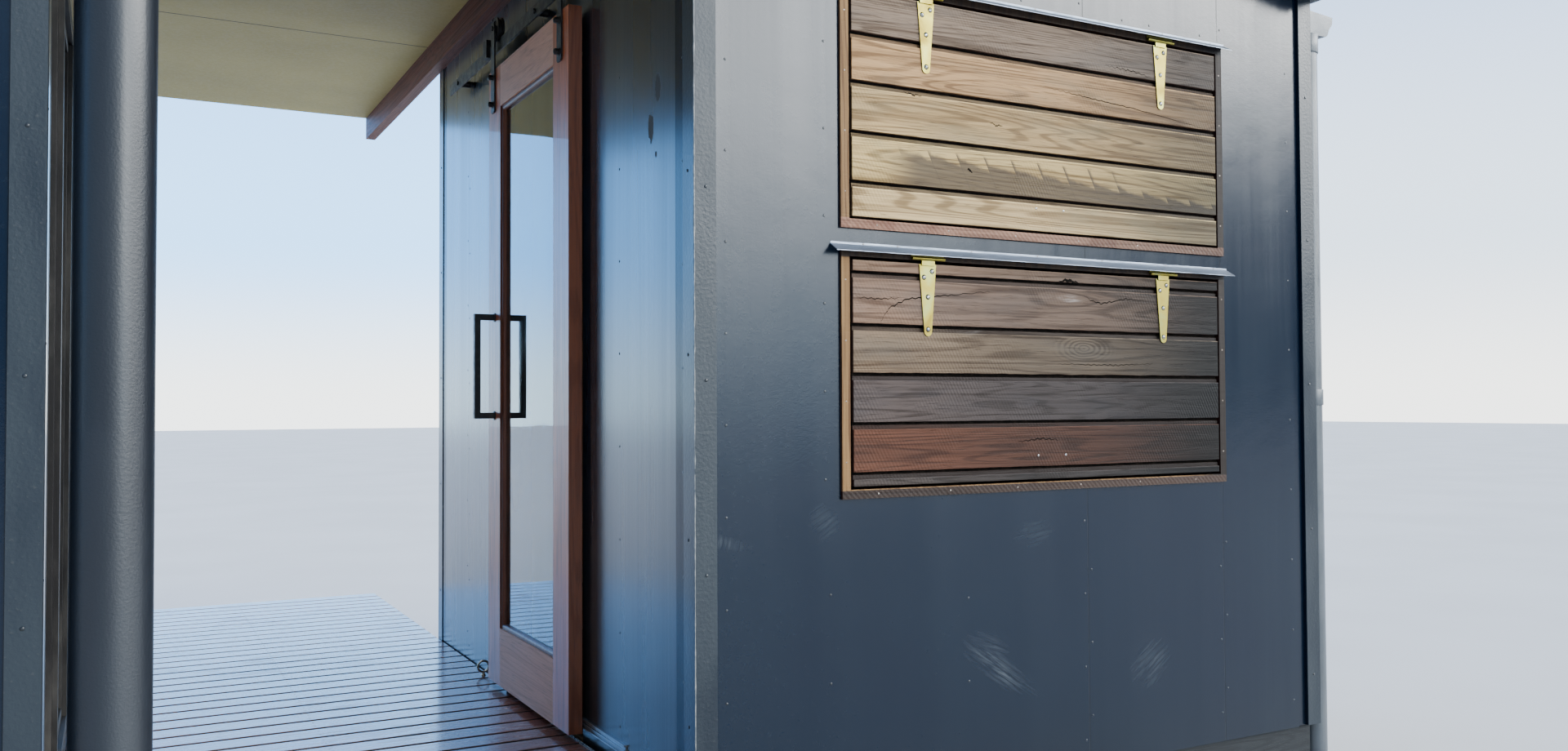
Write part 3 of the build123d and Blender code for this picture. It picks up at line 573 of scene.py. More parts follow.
def smear(across, up, centre, size, lean, strength):
    """a dusty wiped patch, densest in the middle and broken up by the strokes across it"""
    turn = math.radians(lean)
    left = across - centre[0]
    rise = up - centre[1]
    along = left * math.cos(turn) + rise * math.sin(turn)
    aside = rise * math.cos(turn) - left * math.sin(turn)
    far = reckon("SQRT", (along / size[0]) ** 2.0 + (aside / size[1]) ** 2.0)
    strokes = place_of(along * 9.0, aside * 110.0)
    broken = spread(mottle(strokes, 1.0, 4.0, 0.65, 0.5), 0.40, 0.72)
    return spread(far, 0.15, 1.0, 1.0, 0.0) * broken * strength


def lining(made):
    """1 on the inner half of a wall's thickness, where the pale lining is, and 0 outside it"""
    along_x, along_y, _ = apart(made)
    along_x = abs(along_x)
    from_sides = reckon("MINIMUM", along_x - inner_x, outer_x - along_x)
    from_ends = reckon("MINIMUM", along_y - front_y, back_y - along_y)
    return spread(reckon("MINIMUM", from_sides, from_ends), lining_depth - 0.001, lining_depth + 0.001)


def cladding(name, facing, joints, smears=(), chips=()):
    """painted sheet, lightly orange-peeled, streaked downwards, lighter towards the top partly as painted sheen, and
    dulled towards the foot
    """
    front = facing == "front"
    made = new_finish(name, coat=0.0 if front else 0.55, specular=0.30 if front else 0.50)
    give(made, "Coat Roughness", 0.16)
    along_x, along_y, up = apart(made)
    across = along_x if front else along_y
    clouds = mottle(made, 1.1, 4.0, 0.55, 0.3)
    streaks = mottle(lie(made, (9.0, 9.0, 0.35)), 1.0, 3.0, 0.5, 0.25)
    speckle = mottle(made, 75.0, 3.0, 0.6)
    # The washing grows lighter towards the top of the wall: partly rain-washed streaks, partly painted sheen for the
    # sky reflected in the satin paint.
    most = 0.45 if front else 0.85
    washed_and_sheen = spread(streaks, 0.42, 0.72) * spread(up, 0.5, 2.6, 0.05, most)
    washed_and_sheen += spread(clouds, 0.3, 0.75) * 0.35
    colour = mixed(washed_and_sheen, wall_slate, wall_washed_and_sheen)
    colour = mixed(spread(speckle, 0.55, 0.75) * 0.12, colour, (0.016, 0.022, 0.028))
    splash = spread(up + clouds * 0.18, 0.40, 0.72, 0.22, 0.0)
    colour = mixed(splash, colour, (0.012, 0.015, 0.017))
    foot = spread(up + clouds * 0.30, 0.70, 1.50, 0.55, 0.0)
    if not front:
        colour = mixed(foot, colour, (0.034, 0.032, 0.028))
    for centre, size, lean, strength in smears:
        colour = mixed(smear(across, up, centre, size, lean, strength), colour, (0.085, 0.100, 0.110))
    chip_depth = None
    for centre, size in chips:
        left = (across - centre[0]) / size[0]
        rise = (up - centre[1]) / size[1]
        far = reckon("SQRT", left ** 2.0 + rise ** 2.0)
        torn = far + mottle(made, 90.0, 3.0, 0.6) * 0.9
        chip = spread(torn, 1.20, 1.32, 1.0, 0.0)
        colour = mixed(chip, colour, (0.045, 0.040, 0.036))
        chip_depth = chip if chip_depth is None else reckon("MAXIMUM", chip_depth, chip)
    seam = sheet_joints(across, joints)
    colour = mixed(seam * 0.75, colour, (0.004, 0.005, 0.006))
    lined = lining(made)
    lining_board = shades(streaks, (0.35, (0.40, 0.32, 0.21)), (0.65, (0.50, 0.42, 0.29)))
    give(made, "Base Color", mixed(lined, colour, lining_board))
    sheen = washed_and_sheen * 0.06 + streaks * 0.10 + (0.14 if front else 0.22)
    bare = lined if chip_depth is None else reckon("MAXIMUM", lined, chip_depth)
    give(made, "Roughness", sheen + bare * 0.40)
    if not front:
        give(made, "Coat Weight", spread(reckon("MAXIMUM", bare, foot), 0.0, 1.0, 0.55, 0.0))
    height = mottle(made, 260.0, 2.0, 0.5) * 0.10 + speckle * 0.12 - seam
    if chip_depth is not None:
        height -= chip_depth * 0.8
    fine = relief(made, height, 0.0010)
    relief(made, clouds + streaks * 0.5, 0.0035, under=fine)
    return made


front_cladding = cladding(
    "front cladding", "front", (1.829, 2.357, -1.829),
    smears=(((1.520, 0.665), (0.17, 0.045), -33, 0.55), ((1.490, 0.735), (0.10, 0.035), -20, 0.22),
            ((2.060, 0.630), (0.11, 0.085), 35, 0.30), ((0.985, 1.075), (0.05, 0.06), 30, 0.22),
            ((0.700, 1.045), (0.020, 0.10), 78, 0.35), ((1.640, 1.015), (0.10, 0.05), 10, 0.15)),
)
coat_node(front_cladding, "front_wall_sides", "front_wall_panels", "left_front_wall")
side_cladding = cladding(
    "side cladding", "side", (0.118, -0.612),
    chips=(((-1.716, 2.148), (0.020, 0.040)), ((-1.670, 2.057), (0.021, 0.042)), ((-1.702, 1.985), (0.007, 0.010))),
)
coat_node(side_cladding, "door_wall_sides", "left_wall_sides", "wall_heads", "outer_walls")
back_cladding = cladding("back cladding", "front", (1.829, 1.229, 2.357, -1.829, -1.229, -2.357))
coat_node(back_cladding, "back_walls")

nail_finish = new_finish("painted nail heads", 0.36)
dress(
    nail_finish, shades(mottle(nail_finish, 45.0), (0.35, (0.004, 0.006, 0.009)), (0.7, (0.012, 0.017, 0.022))),
    mottle(nail_finish, 700.0), 0.0002
)
nail_radius, nail_rise = 0.0034, 0.0011
nail_rows = [((nail_x, front_y, lowest), (0, -1, 0), count, pitch) for nail_x, lowest, count, pitch in (
    (0.722, 0.455, 11, 0.215), (1.003, 0.470, 3, 0.215), (0.990, 1.180, 6, 0.215), (1.419, 0.430, 3, 0.215),
    (1.817, 0.440, 4, 0.200), (1.841, 0.505, 3, 0.200), (1.817, 2.476, 2, 0.150), (1.841, 2.520, 2, 0.150),
    (2.345, 0.450, 3, 0.215), (2.369, 0.520, 3, 0.215), (2.369, 1.250, 7, 0.205), (2.655, 0.450, 10, 0.215),
)]
for nail_x in (1.052, 1.236, 1.418, 1.612, 1.977, 2.082, 2.286):
    nail_rows.append(((nail_x, front_y, 2.452), (0, -1, 0), 1, 0.0))
for nail_x in (-0.722, -1.132, -1.542, -1.817, -1.841, -2.250, -2.655):
    nail_rows.append(((nail_x, front_y, 0.455), (0, -1, 0), 10, 0.215))
for nail_x in (0.722, 1.217, 1.241, 1.817, 1.841, 2.345, 2.369, 2.680):
    for side in (-1, 1):
        nail_rows.append(((side * nail_x, back_y, 0.455), (0, 1, 0), 9, 0.235))
for nail_y, lowest, count in (
    (-1.862, 0.470, 9), (-1.451, 0.520, 9), (-0.290, 0.470, 10), (0.106, 0.470, 9), (0.130, 0.520, 9),
    (0.520, 0.470, 9),
):
    nail_rows.append(((inner_x, nail_y, lowest), (-1, 0, 0), count, 0.245))
for nail_y in (-1.845, -0.240, 0.106, 0.130, 0.520):
    nail_rows.append(((-inner_x, nail_y, 0.470), (1, 0, 0), 9, 0.245))
for side in (-1, 1):
    for nail_y in (-1.840, -1.220, -0.624, -0.600, 0.106, 0.130, 0.500):
        nail_rows.append(((side * outer_x, nail_y, 0.470), (side, 0, 0), 9, 0.235))
wall_nails = []
for place, facing, count, pitch in nail_rows:
    wall_nails.append(nail(place, nail_radius, nail_rise, facing, 10, count, (0, 0, pitch)))
cladding_nails = gathered("cladding_nails", wall_nails, nail_finish)
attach(cladding_nails, "building")


# The corner trims: folded sheet lapped over the wall corners and painted with the walls,
# held by small screws. Along the front left corner of the right pod the sealant has
# squeezed out and dried in a lumpy bead.
trim_finish = new_finish("painted corner trims", specular=0.30)
give(trim_finish, "Coat Roughness", 0.16)
trim_faces = facing_of(trim_finish)[0]
give(trim_finish, "Coat Weight", spread(trim_faces, -0.60, -0.90, 0.0, 0.55))
trim_clouds = mottle(lie(trim_finish, (3.0, 3.0, 0.8)), 2.0, 4.0, 0.6, 0.3)
trim_specks = mottle(trim_finish, 120.0, 2.0, 0.5)
dress(
    trim_finish,
    mixed(
        spread(trim_specks, 0.62, 0.74) * 0.35,
        shades(trim_clouds, (0.3, (0.006, 0.011, 0.018)), (0.7, (0.015, 0.022, 0.029))), (0.050, 0.050, 0.050)
    ),
    trim_specks + trim_clouds * 2.0, 0.0006,
    spread(trim_clouds, 0.3, 0.7, 0.30, 0.46) + spread(trim_faces, 0.60, 0.90, 0.0, 0.50)
)
coat_node(trim_finish, "corner_trims")

sealant = new_finish("dried sealant", 0.50)
dress(
    sealant, shades(mottle(sealant, 60.0, 3.0), (0.35, (0.10, 0.115, 0.125)), (0.7, (0.27, 0.27, 0.26))),
    mottle(sealant, 180.0, 3.0), 0.0012
)
trim_low, trim_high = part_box("corner_trims")
bead_middle, bead_length, bead_radius = 1.552, 2.36, 0.0018
bead = rod((inner_x - 0.0022, front_y - 0.0026, bead_middle), bead_radius, bead_length, 8)
cut_across(bead, 2, 1.0, 220)
lumps = bpy.data.textures.new("sealant lumps", "CLOUDS")
lumps.noise_scale = 0.030
lumps.noise_depth = 3
lumped(bead, lumps, 0.0052, 0.56)
bpy.ops.object.shade_smooth_by_angle(angle=math.radians(60))
sealant_bead = gathered("sealant_bead", [bead], sealant)
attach(sealant_bead, "building")

trim_screw_rise = 0.0018
trim_screws = []
for corner_x in (inner_x + 0.027, -inner_x - 0.027, outer_x - 0.027, -outer_x + 0.027):
    for trim_y, facing in ((trim_low.y, -1), (trim_high.y, 1)):
        place = (corner_x, trim_y, 0.520)
        trim_screws.append(nail(place, screw_radius, trim_screw_rise, (0, facing, 0), 12, 5, (0, 0, 0.450)))
for side in (-1, 1):
    for trim_y in (front_y + 0.032, back_y - 0.032):
        for trim_x, facing, count in ((inner_x - 0.003, -side, 5), (outer_x + 0.003, side, 4)):
            place = (side * trim_x, trim_y, 0.620)
            trim_screws.append(nail(place, screw_radius, trim_screw_rise, (facing, 0, 0), 12, count, (0, 0, 0.430)))
trim_screws = gathered("trim_screws", trim_screws, nail_finish)
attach(trim_screws, "building")


# The metal at the foot of the passage wall: a ridged aluminium channel screwed to the
# wall beside the doorway, and a slotted galvanised angle on the cut ends of the deck
# boards. An eye bolt with a bright ring stands in the deck for tying the door.
channel_finish = new_finish("mill finished channel", metallic=0.9)
drawn = mottle(lie(channel_finish, (400.0, 3.0, 400.0)), 1.0, 3.0)
oxide = mottle(channel_finish, 14.0, 4.0, 0.6)
dress(
    channel_finish, shades((drawn + oxide) * 0.5, (0.30, (0.22, 0.24, 0.26)), (0.65, (0.52, 0.54, 0.56))), drawn,
    0.0002, spread(oxide, 0.3, 0.7, 0.28, 0.52)
)
coat_node(channel_finish, "wall_channel")

galvanised = new_finish("galvanised steel", metallic=0.55)
flowers = galvanised.node_tree.nodes.new("ShaderNodeTexVoronoi")
wire(lie(galvanised), flowers.inputs["Vector"])
flowers.inputs["Scale"].default_value = 110.0
bloom, glint, _ = axes(Reading(flowers.outputs["Color"]))
tarnish = mottle(galvanised, 9.0, 4.0, 0.6)
dress(
    galvanised,
    mixed(
        spread(tarnish, 0.45, 0.75, 0.0, 0.5), shades(bloom, (0.0, (0.34, 0.36, 0.38)), (1.0, (0.56, 0.58, 0.60))),
        (0.20, 0.19, 0.18)
    ),
    bloom, 0.0002, spread(glint, 0.0, 1.0, 0.26, 0.48)
)
coat_node(galvanised, "edge_angle")

eye_finish = new_finish("bright plated eye bolt", metallic=1.0)
plating = mottle(eye_finish, 60.0, 4.0, 0.6)
dress(
    eye_finish, shades(plating, (0.35, (0.36, 0.29, 0.20)), (0.65, (0.72, 0.67, 0.56))), plating, 0.0002,
    spread(plating, 0.3, 0.7, 0.38, 0.18)
)
coat_node(eye_finish, "eye_bolt")
eye_low, eye_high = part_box("eye_bolt")
eye_x, eye_y = (eye_low.x + eye_high.x) / 2, (eye_low.y + eye_high.y) / 2
washer = eased(rod((eye_x, eye_y, deck_high.z + 0.0008), 0.0095, 0.0016, 24), 0.0004)
eye_nut = eased(rod((eye_x, eye_y, deck_high.z + 0.0041), 0.0075, 0.0050, 6), 0.0006)
eye_fixing = gathered("eye_bolt_nut", [washer, eye_nut], eye_finish)
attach(eye_fixing, "building")


# The window in the left pod's passage wall: two fixed panes in a dark bronze aluminium
# frame, each glazed into a stepped sash.
window_metal = new_finish("dark bronze window metal", specular=0.10)
window_dust = mottle(lie(window_metal, (1.0, 1.0, 0.4)), 7.0, 5.0, 0.6)
dress(
    window_metal, shades(window_dust, (0.40, (0.016, 0.015, 0.015)), (0.80, (0.070, 0.066, 0.060))),
    mottle(window_metal, 420.0), 0.0002, spread(window_dust, 0.3, 0.8, 0.46, 0.64)
)
coat_node(window_metal, "window_frame")


def window_glass_finish(name, tint):
    """clear glass with a faint film of dust"""
    made = new_finish(name)
    give(made, "Transmission Weight", 1.0)
    give(made, "IOR", 1.52)
    film = mottle(lie(made, (3.0, 3.0, 1.0)), 2.4, 5.0, 0.65, 0.4)
    give(made, "Roughness", spread(film, 0.45, 0.8, 0.012, 0.060))
    dress(
        made, shades(film, (0.4, tint), (0.9, tuple((0.93 * part for part in tint)))), mottle(made, 1.7, 2.0), 0.0008
    )
    return made


coat_node(window_glass_finish("window panes", (0.86, 0.91, 0.90)), "window_glass")

pane_low, pane_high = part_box("window_glass")
frame_low, frame_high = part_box("window_frame")
mullion = 0.046
middle_y = (frame_low.y + frame_high.y) / 2
sash_pieces = []
for light_near, light_far in ((pane_low.y, middle_y - mullion / 2), (middle_y + mullion / 2, pane_high.y)):
    for depth_low, depth_high, sash_width in (
        (frame_high.x - 0.030, frame_high.x - 0.012, 0.030), (pane_high.x, frame_high.x - 0.030, 0.018),
        (frame_low.x + 0.012, pane_low.x, 0.022),
    ):
        for side_low, side_high in (
            ((light_near, pane_low.z), (light_near + sash_width, pane_high.z)),
            ((light_far - sash_width, pane_low.z), (light_far, pane_high.z)),
            ((light_near + sash_width, pane_low.z), (light_far - sash_width, pane_low.z + sash_width)),
            ((light_near + sash_width, pane_high.z - sash_width), (light_far - sash_width, pane_high.z)),
        ):
            sash_pieces.append(eased(block(
                (depth_low, side_low[0], side_low[1]), (depth_high, side_high[0], side_high[1])), 0.0015))
window_sashes = gathered("window_sashes", sash_pieces, window_metal)
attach(window_sashes, "building")


# The sliding door: two stiles and two rails of reddish hardwood under a satin varnish,
# a moulded bead round the single pane on each face, and a pull bent from square black
# bar. The stiles' grain runs upright and the rails' across. The stiles' broad faces are
# painted lighter than their edges and the rails much paler still, as painted light and
# reflection.
stile_finish, stile_wood = timber(
    "varnished door stiles", "Z", (0.215, 0.066, 0.028), (0.115, 0.030, 0.013), 0.34, 0.45, rings=4.0
)
# The stiles' broad faces are painted about three times lighter than their edges, as painted light.
lit_faces = spread(abs(facing_of(stile_finish)[0]), 0.60, 0.90)
give(stile_finish, "Base Color", mixed(lit_faces, stile_wood, tinted(stile_wood, (3.2, 2.7, 2.3))))
stile_z = apart(stile_finish)[2]
worn_varnish = lit_faces * spread(stile_z, 0.80, 1.45, 0.32, 0.08)
give(stile_finish, "Coat Weight", 0.35 - worn_varnish)
# The rails are the stiles' wood painted much paler and pinker, as painted reflection in the varnish.
pale_lit_rail_finish, _ = timber(
    "door rails painted pale as reflection", "Y", (0.840, 0.490, 0.350), (0.660, 0.360, 0.250), 0.50, 0.0, rings=4.0, specular=0.25
)
bead_finish, _ = timber(
    "varnished glass beads", "Z", (0.190, 0.058, 0.026), (0.100, 0.026, 0.012), 0.46, 0.12, rings=3.0
)
coat_node(stile_finish, "door_stiles")
coat_node(pale_lit_rail_finish, "door_rails")
coat_node(bead_finish, "door_beads")
coat_node(window_glass_finish("door pane", (0.80, 0.88, 0.88)), "door_glass")

black_steel = new_finish("black coated steel", metallic=0.2)
black_dust = mottle(black_steel, 30.0, 4.0, 0.6)
dress(
    black_steel, shades(black_dust, (0.45, (0.008, 0.008, 0.009)), (0.80, (0.040, 0.038, 0.036))),
    mottle(black_steel, 800.0, 2.0), 0.0003, spread(black_dust, 0.3, 0.8, 0.32, 0.58)
)
coat_node(black_steel, "barn_rail", "rail_stops", "door_hangers", "near_wheel", "far_wheel")

hanger_low, hanger_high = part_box("door_hangers")
door_low, door_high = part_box("door_stiles")
hanger_lines = (hanger_low.y + 0.020, hanger_high.y - 0.020)
strap_face = door_low.x - 0.0055
hanger_washers = []
sideways = (0, math.radians(90), 0)
for hanger_line in hanger_lines:
    for drop in (0.028, 0.119):
        bolt_z = door_high.z - drop
        washer = rod((strap_face - 0.0009, hanger_line, bolt_z), 0.0130, 0.0018, 28, sideways)
        hanger_washers.append(eased(washer, 0.0005))
        hanger_washers.append(nail((strap_face - 0.0130, hanger_line, bolt_z), 0.0078, 0.0032, (-1, 0, 0), 16))
hanger_washers = gathered("hanger_washers", hanger_washers, black_steel)
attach(hanger_washers, "door")

pull_low, pull_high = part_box("door_handle")
pull_middle = (pull_low.y + pull_high.y) / 2
pull_bar = 0.020
pull_left, pull_right = pull_middle - pull_bar / 2, pull_middle + pull_bar / 2
pull_inner = pull_low.x + pull_bar
pull_bars = [block((pull_low.x, pull_left, pull_low.z), (pull_inner, pull_right, pull_high.z))]
for leg_low in (pull_low.z, pull_high.z - pull_bar):
    pull_bars.append(block((pull_inner - 0.002, pull_left, leg_low), (door_low.x, pull_right, leg_low + pull_bar)))
door_pull = gathered("door_pull", [eased(bar, 0.0009) for bar in pull_bars], black_steel)
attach(door_pull, "door")
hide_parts("door_handle")
pull_roses = []
for rose_z in (pull_low.z + pull_bar / 2, pull_high.z - pull_bar / 2):
    pull_roses.append(eased(rod((door_low.x - 0.0015, pull_middle, rose_z), 0.0150, 0.0030, 32, sideways), 0.0010))
pull_roses = gathered("pull_roses", pull_roses, black_steel)
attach(pull_roses, "door")


# The servery hatches: shiplap boards of weathered hardwood, each of its own colour, with
# tongues behind their shadow gaps, screwed to two ledgers. They are sawn rough, with
# ragged lower edges, drying cracks and a knot, and rain has stained the upper one. Light
# and shade are painted on as well: near-black tongues, cracks and screw rings, dark lips
# and board edges, darker boards under the flashings, pale highlights on the arrises, and
# the boards lighter at the left and darker towards the right.
upper_low, upper_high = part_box("upper_hatch_boards")
lower_low, lower_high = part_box("lower_hatch_boards")
board_thickness, barrel_lift = 0.020, 0.012
hatch_face = upper_low.y
hatch_back = hatch_face + board_thickness
upper_barrel = upper_high.z + barrel_lift
lower_barrel = lower_high.z + barrel_lift
shadow_gap, lip_height, lip_set_back = 0.007, 0.010, 0.006
board_drops = {
    "upper": (upper_barrel, upper_low.z, upper_high.z, (0.116, 0.238, 0.363, 0.488)),
    "lower": (lower_barrel, lower_low.z, lower_high.z, (0.039, 0.170, 0.293, 0.415, 0.538)),
}
ragged = bpy.data.textures.new("ragged edge", "CLOUDS")
ragged.noise_scale = 0.045
ragged.noise_depth = 4


def mark(piece, name, values):
    """a number that each of the piece's points carries"""
    carried = piece.data.attributes.new(name, "FLOAT", "POINT")
    carried.data.foreach_set("value", values)


def marked(made, name):
    """the number that each point of a piece carries"""
    tag = made.node_tree.nodes.new("ShaderNodeAttribute")
    tag.attribute_name = name
    return Reading(tag.outputs["Fac"])


def shiplap_board(left, right, bottom, top, number, rough, has_lip):
    """one board with a rebated lip on its upper edge and a sawn, slightly ragged lower edge"""
    shoulder = top - lip_height if has_lip else top
    board = block((left, hatch_face, bottom), (right, hatch_back, shoulder))
    cut_across(board, 0, 0.5, 90)
    lower_edge = board.vertex_groups.new(name="lower edge")
    at_edge = [v.index for v in board.data.vertices if v.co.z < bottom + 0.0005 and v.co.y < hatch_face + 0.0005]
    lower_edge.add(at_edge, 1.0, "REPLACE")
    lumped(board, ragged, rough, 0.15, lower_edge.name)
    board.vertex_groups.clear()
    eased(board, 0.0012)
    parts = [board]
    if has_lip:
        lip = block((left, hatch_face + lip_set_back, shoulder - 0.002), (right, hatch_back, top))
        parts.append(eased(lip, 0.0010))
    whole = gathered("board", parts)
    mark(whole, "board", [float(number)] * len(whole.data.vertices))
    mark(whole, "rise", [v.co.z - shoulder for v in whole.data.vertices])
    return whole


def board_colours_and_shade(board):
    """each board's own colour, in order from the top of the upper hatch to the foot of the lower; the upper hatch's
    top board and the lower hatch's boards are darkened also as painted shade under the flashings
    """
    own = (
        (0.130, 0.090, 0.060), (0.285, 0.163, 0.070), (0.285, 0.184, 0.078), (0.335, 0.230, 0.092),
        (0.350, 0.242, 0.112), (0.078, 0.050, 0.033), (0.077, 0.049, 0.033), (0.066, 0.047, 0.030),
        (0.026, 0.020, 0.018), (0.036, 0.0140, 0.0075), (0.020, 0.016, 0.014)
    )
    stops = [(0.0, own[0])] + [((place - 0.5) / 11.0, own[place]) for place in range(1, 11)]
    return shades(board / 11.0, *stops, stepped=True)


def at_board(board, number):
    """1 on the board of that number and 0 on the rest"""
    return reckon("COMPARE", board, float(number), 0.3)


def hatch_jog(made):
    """a shift of the grain from board to board"""
    board = marked(made, "board")
    return place_of(*(board * stride for stride in (3.71, 5.13, 4.37)))


hatch_timber = new_finish("weathered hatch boards", specular=0.12)
hatch_grain, hatch_fibres, hatch_pores = grain_of(hatch_timber, "X", 5.0, hatch_jog)
hatch_board = marked(hatch_timber, "board")
board_x, board_y, board_z = apart(hatch_timber)
# Each board's colour, the darker ones partly painted shade under the flashings.
board_colour_and_shade = board_colours_and_shade(hatch_board)
knot_board, stained_board, ledger_number = 7, 3, 10.0
knot_centre_x, knot_centre_z, knot_squash = 1.815, 1.514, 2.6
stain_left, stain_height, stain_slope = 1.215, 2.001, 0.052
run_start, run_height, run_lean, run_pitch = 1.286, 2.026, 0.52, 0.0901
knot_x = board_x - knot_centre_x
knot_z = (board_z - knot_centre_z) * knot_squash
knot_far = reckon("SQRT", knot_x ** 2.0 + knot_z ** 2.0)
knot_far += mottle(hatch_timber, 14.0, 2.0) * 0.030
knot_rings = reckon("SINE", knot_far * 330.0)
knot_share = spread(knot_far, 0.05, 0.15, 1.0, 0.0) * at_board(hatch_board, knot_board)
knotted = hatch_grain + knot_rings * knot_share * 0.16
dark_wood = tinted(board_colour_and_shade, (0.52, 0.47, 0.43))
pale_wood = tinted(board_colour_and_shade, (1.32, 1.33, 1.36))
hatch_colour = mixed(spread(knotted, 0.30, 0.70), dark_wood, pale_wood)
weather = mottle(lie(hatch_timber, (1.6, 1.0, 6.0)), 1.7, 5.0, 0.62, 0.5)
silvered = tinted(board_colour_and_shade, (0.62, 0.84, 1.16))
hatch_colour = mixed(spread(weather, 0.45, 0.75, 0.0, 0.40), hatch_colour, silvered)
hatch_colour = mixed(spread(weather, 0.40, 0.22, 0.0, 0.35), hatch_colour, pale_wood)
stain_fall = (board_x - stain_left) * stain_slope
stain_edge = stain_height - stain_fall + mottle(hatch_timber, 16.0, 4.0, 0.6) * 0.030
run_across = board_x - (run_height - board_z) * run_lean
run_place = reckon("FRACT", (run_across - run_start) / run_pitch)
stain_edge += (0.55 - run_place) * 0.016
stained = spread(stain_edge - board_z, 0.008, 0.022)
stained *= spread(board_x, 1.145, 1.275)
run_span = spread(board_x, 1.275, 1.305) * spread(board_x, 1.90, 1.98, 1.0, 0.0)
runs = spread(run_place, 0.0, 0.16, 1.0, 0.0) * run_span * spread(board_z, 2.018, 2.006, 0.0, 1.0)
stain_share = reckon("MAXIMUM", stained * 0.86, runs * 0.95) * at_board(hatch_board, stained_board)
hatch_colour = mixed(stain_share, hatch_colour, (0.060, 0.042, 0.027))
# The boards are painted lighter at the left and darker towards the right, nearly black at the lower hatch's right end,
# as painted light and shade.
along_hatch = (board_x - upper_low.x) / (upper_high.x - upper_low.x)
upper_painted_light = shades(along_hatch, (0.0, (1.15,) * 3), (0.45, (0.98,) * 3), (1.0, (0.31, 0.33, 0.37)))
lower_painted_light = shades(along_hatch, (0.0, (2.05, 1.92, 1.80)), (0.50, (1.10,) * 3), (1.0, (0.05, 0.06, 0.08)))
hatch_painted_light = mixed(spread(hatch_board, 4.3, 4.7), upper_painted_light, lower_painted_light)
hatch_colour = tinted(hatch_colour, hatch_painted_light)
hatch_colour = mixed(hatch_pores * 0.40, hatch_colour, (0.018, 0.012, 0.009))
for scuff_place, scuff_size, scuff_lean in (((1.765, 1.650), (0.055, 0.016), 0), ((1.430, 1.553), (0.060, 0.012), 8)):
    scuffed = smear(board_x, board_z, scuff_place, scuff_size, scuff_lean, 0.75)
    hatch_colour = mixed(scuffed, hatch_colour, (0.34, 0.30, 0.27))
# The recessed lips behind the shadow gaps are painted nearly black as painted shade.
shaded_lip = spread(board_y, hatch_face + 0.0030, hatch_face + 0.0050, 0.0, 0.72)
# A pale line along the top arris of each board: partly wear, partly painted highlight.
worn_and_lit_arris = spread(abs(marked(hatch_timber, "rise") + 0.0012), 0.0008, 0.0020, 0.60, 0.0)
worn_and_lit_arris *= spread(mottle(hatch_timber, 14.0, 4.0, 0.6), 0.36, 0.56, 0.25, 1.0)
hatch_colour = mixed(worn_and_lit_arris, hatch_colour, tinted(board_colour_and_shade, (2.3, 2.4, 2.5)))
hatch_colour = mixed(shaded_lip, hatch_colour, (0.014, 0.008, 0.006))
# The boards' edges and ends are painted dark as painted shade in the gaps.
shaded_board_edges = spread(abs(facing_of(hatch_timber)[1]), 0.55, 0.90, 0.62, 0.0)
hatch_colour = mixed(shaded_board_edges, hatch_colour, (0.040, 0.018, 0.014))
give(hatch_timber, "Base Color", hatch_colour)
give(hatch_timber, "Roughness", spread(hatch_fibres, 0.2, 0.8, 0.70, 0.50))
saw_marks = reckon("SINE", run_across * 620.0)
saw_share = spread(mottle(hatch_timber, 4.0, 3.0), 0.48, 0.62) * 0.20
hatch_height = knotted * 0.7 + saw_marks * saw_share
relief(hatch_timber, hatch_height - hatch_pores * 0.5, 0.0009)

# A near-black finish that stands in for shade: in the drying cracks, on the tongues behind the shadow gaps and in
# rings round the hinge screws.
painted_shade_finish = new_finish("painted shade in cracks and gaps", 0.85, specular=0.05)
dress(
    painted_shade_finish, shades(mottle(painted_shade_finish, 80.0), (0.4, (0.002, 0.0015, 0.001)), (0.8, (0.010, 0.007, 0.005))),
    mottle(painted_shade_finish, 500.0), 0.0006
)
lower_edge_roughness = {0: 0.0022, 1: 0.0030, 6: 0.0036, 7: 0.0052}
hatch_left, hatch_right, tongue_set_back, ledger_width = upper_low.x, upper_high.x, 0.010, 0.060
number = 0
for hatch in ("upper", "lower"):
    barrel, leaf_bottom, leaf_top, drops = board_drops[hatch]
    levels = [leaf_top] + [barrel - drop for drop in drops] + [leaf_bottom]
    boards, tongues = [], []
    for place, (above, below) in enumerate(zip(levels, levels[1:])):
        top = above - shadow_gap if place else above
        rough = 0.0004 if below == leaf_bottom else lower_edge_roughness.get(number, 0.0016)
        boards.append(shiplap_board(hatch_left, hatch_right, below, top, number, rough, place > 0))
        number += 1
        if place:
            tongue = block(
                (hatch_left, hatch_face + tongue_set_back, top - 0.0008),
                (hatch_right, hatch_back - 0.001, above + 0.003)
            )
            tongues.append(eased(tongue, 0.0003))
    for ledger_left in (hatch_left + 0.051, hatch_right - 0.051 - ledger_width):
        ledger = eased(block(
            (ledger_left, hatch_back - 0.0005, leaf_bottom + 0.045),
            (ledger_left + ledger_width, upper_high.y, leaf_top - 0.045),
        ), 0.002)
        mark(ledger, "board", [ledger_number] * len(ledger.data.vertices))
        mark(ledger, "rise", [-0.05] * len(ledger.data.vertices))
        boards.append(ledger)
    leaf = gathered(hatch + "_shiplap", boards, hatch_timber)
    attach(leaf, hatch + "_hatch")
    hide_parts(hatch + "_hatch_boards")
    # The tongues are coloured near-black as painted shade behind the shadow gaps.
    board_tongues = gathered(hatch + "_board_tongues", tongues, painted_shade_finish)
    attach(board_tongues, hatch + "_hatch")


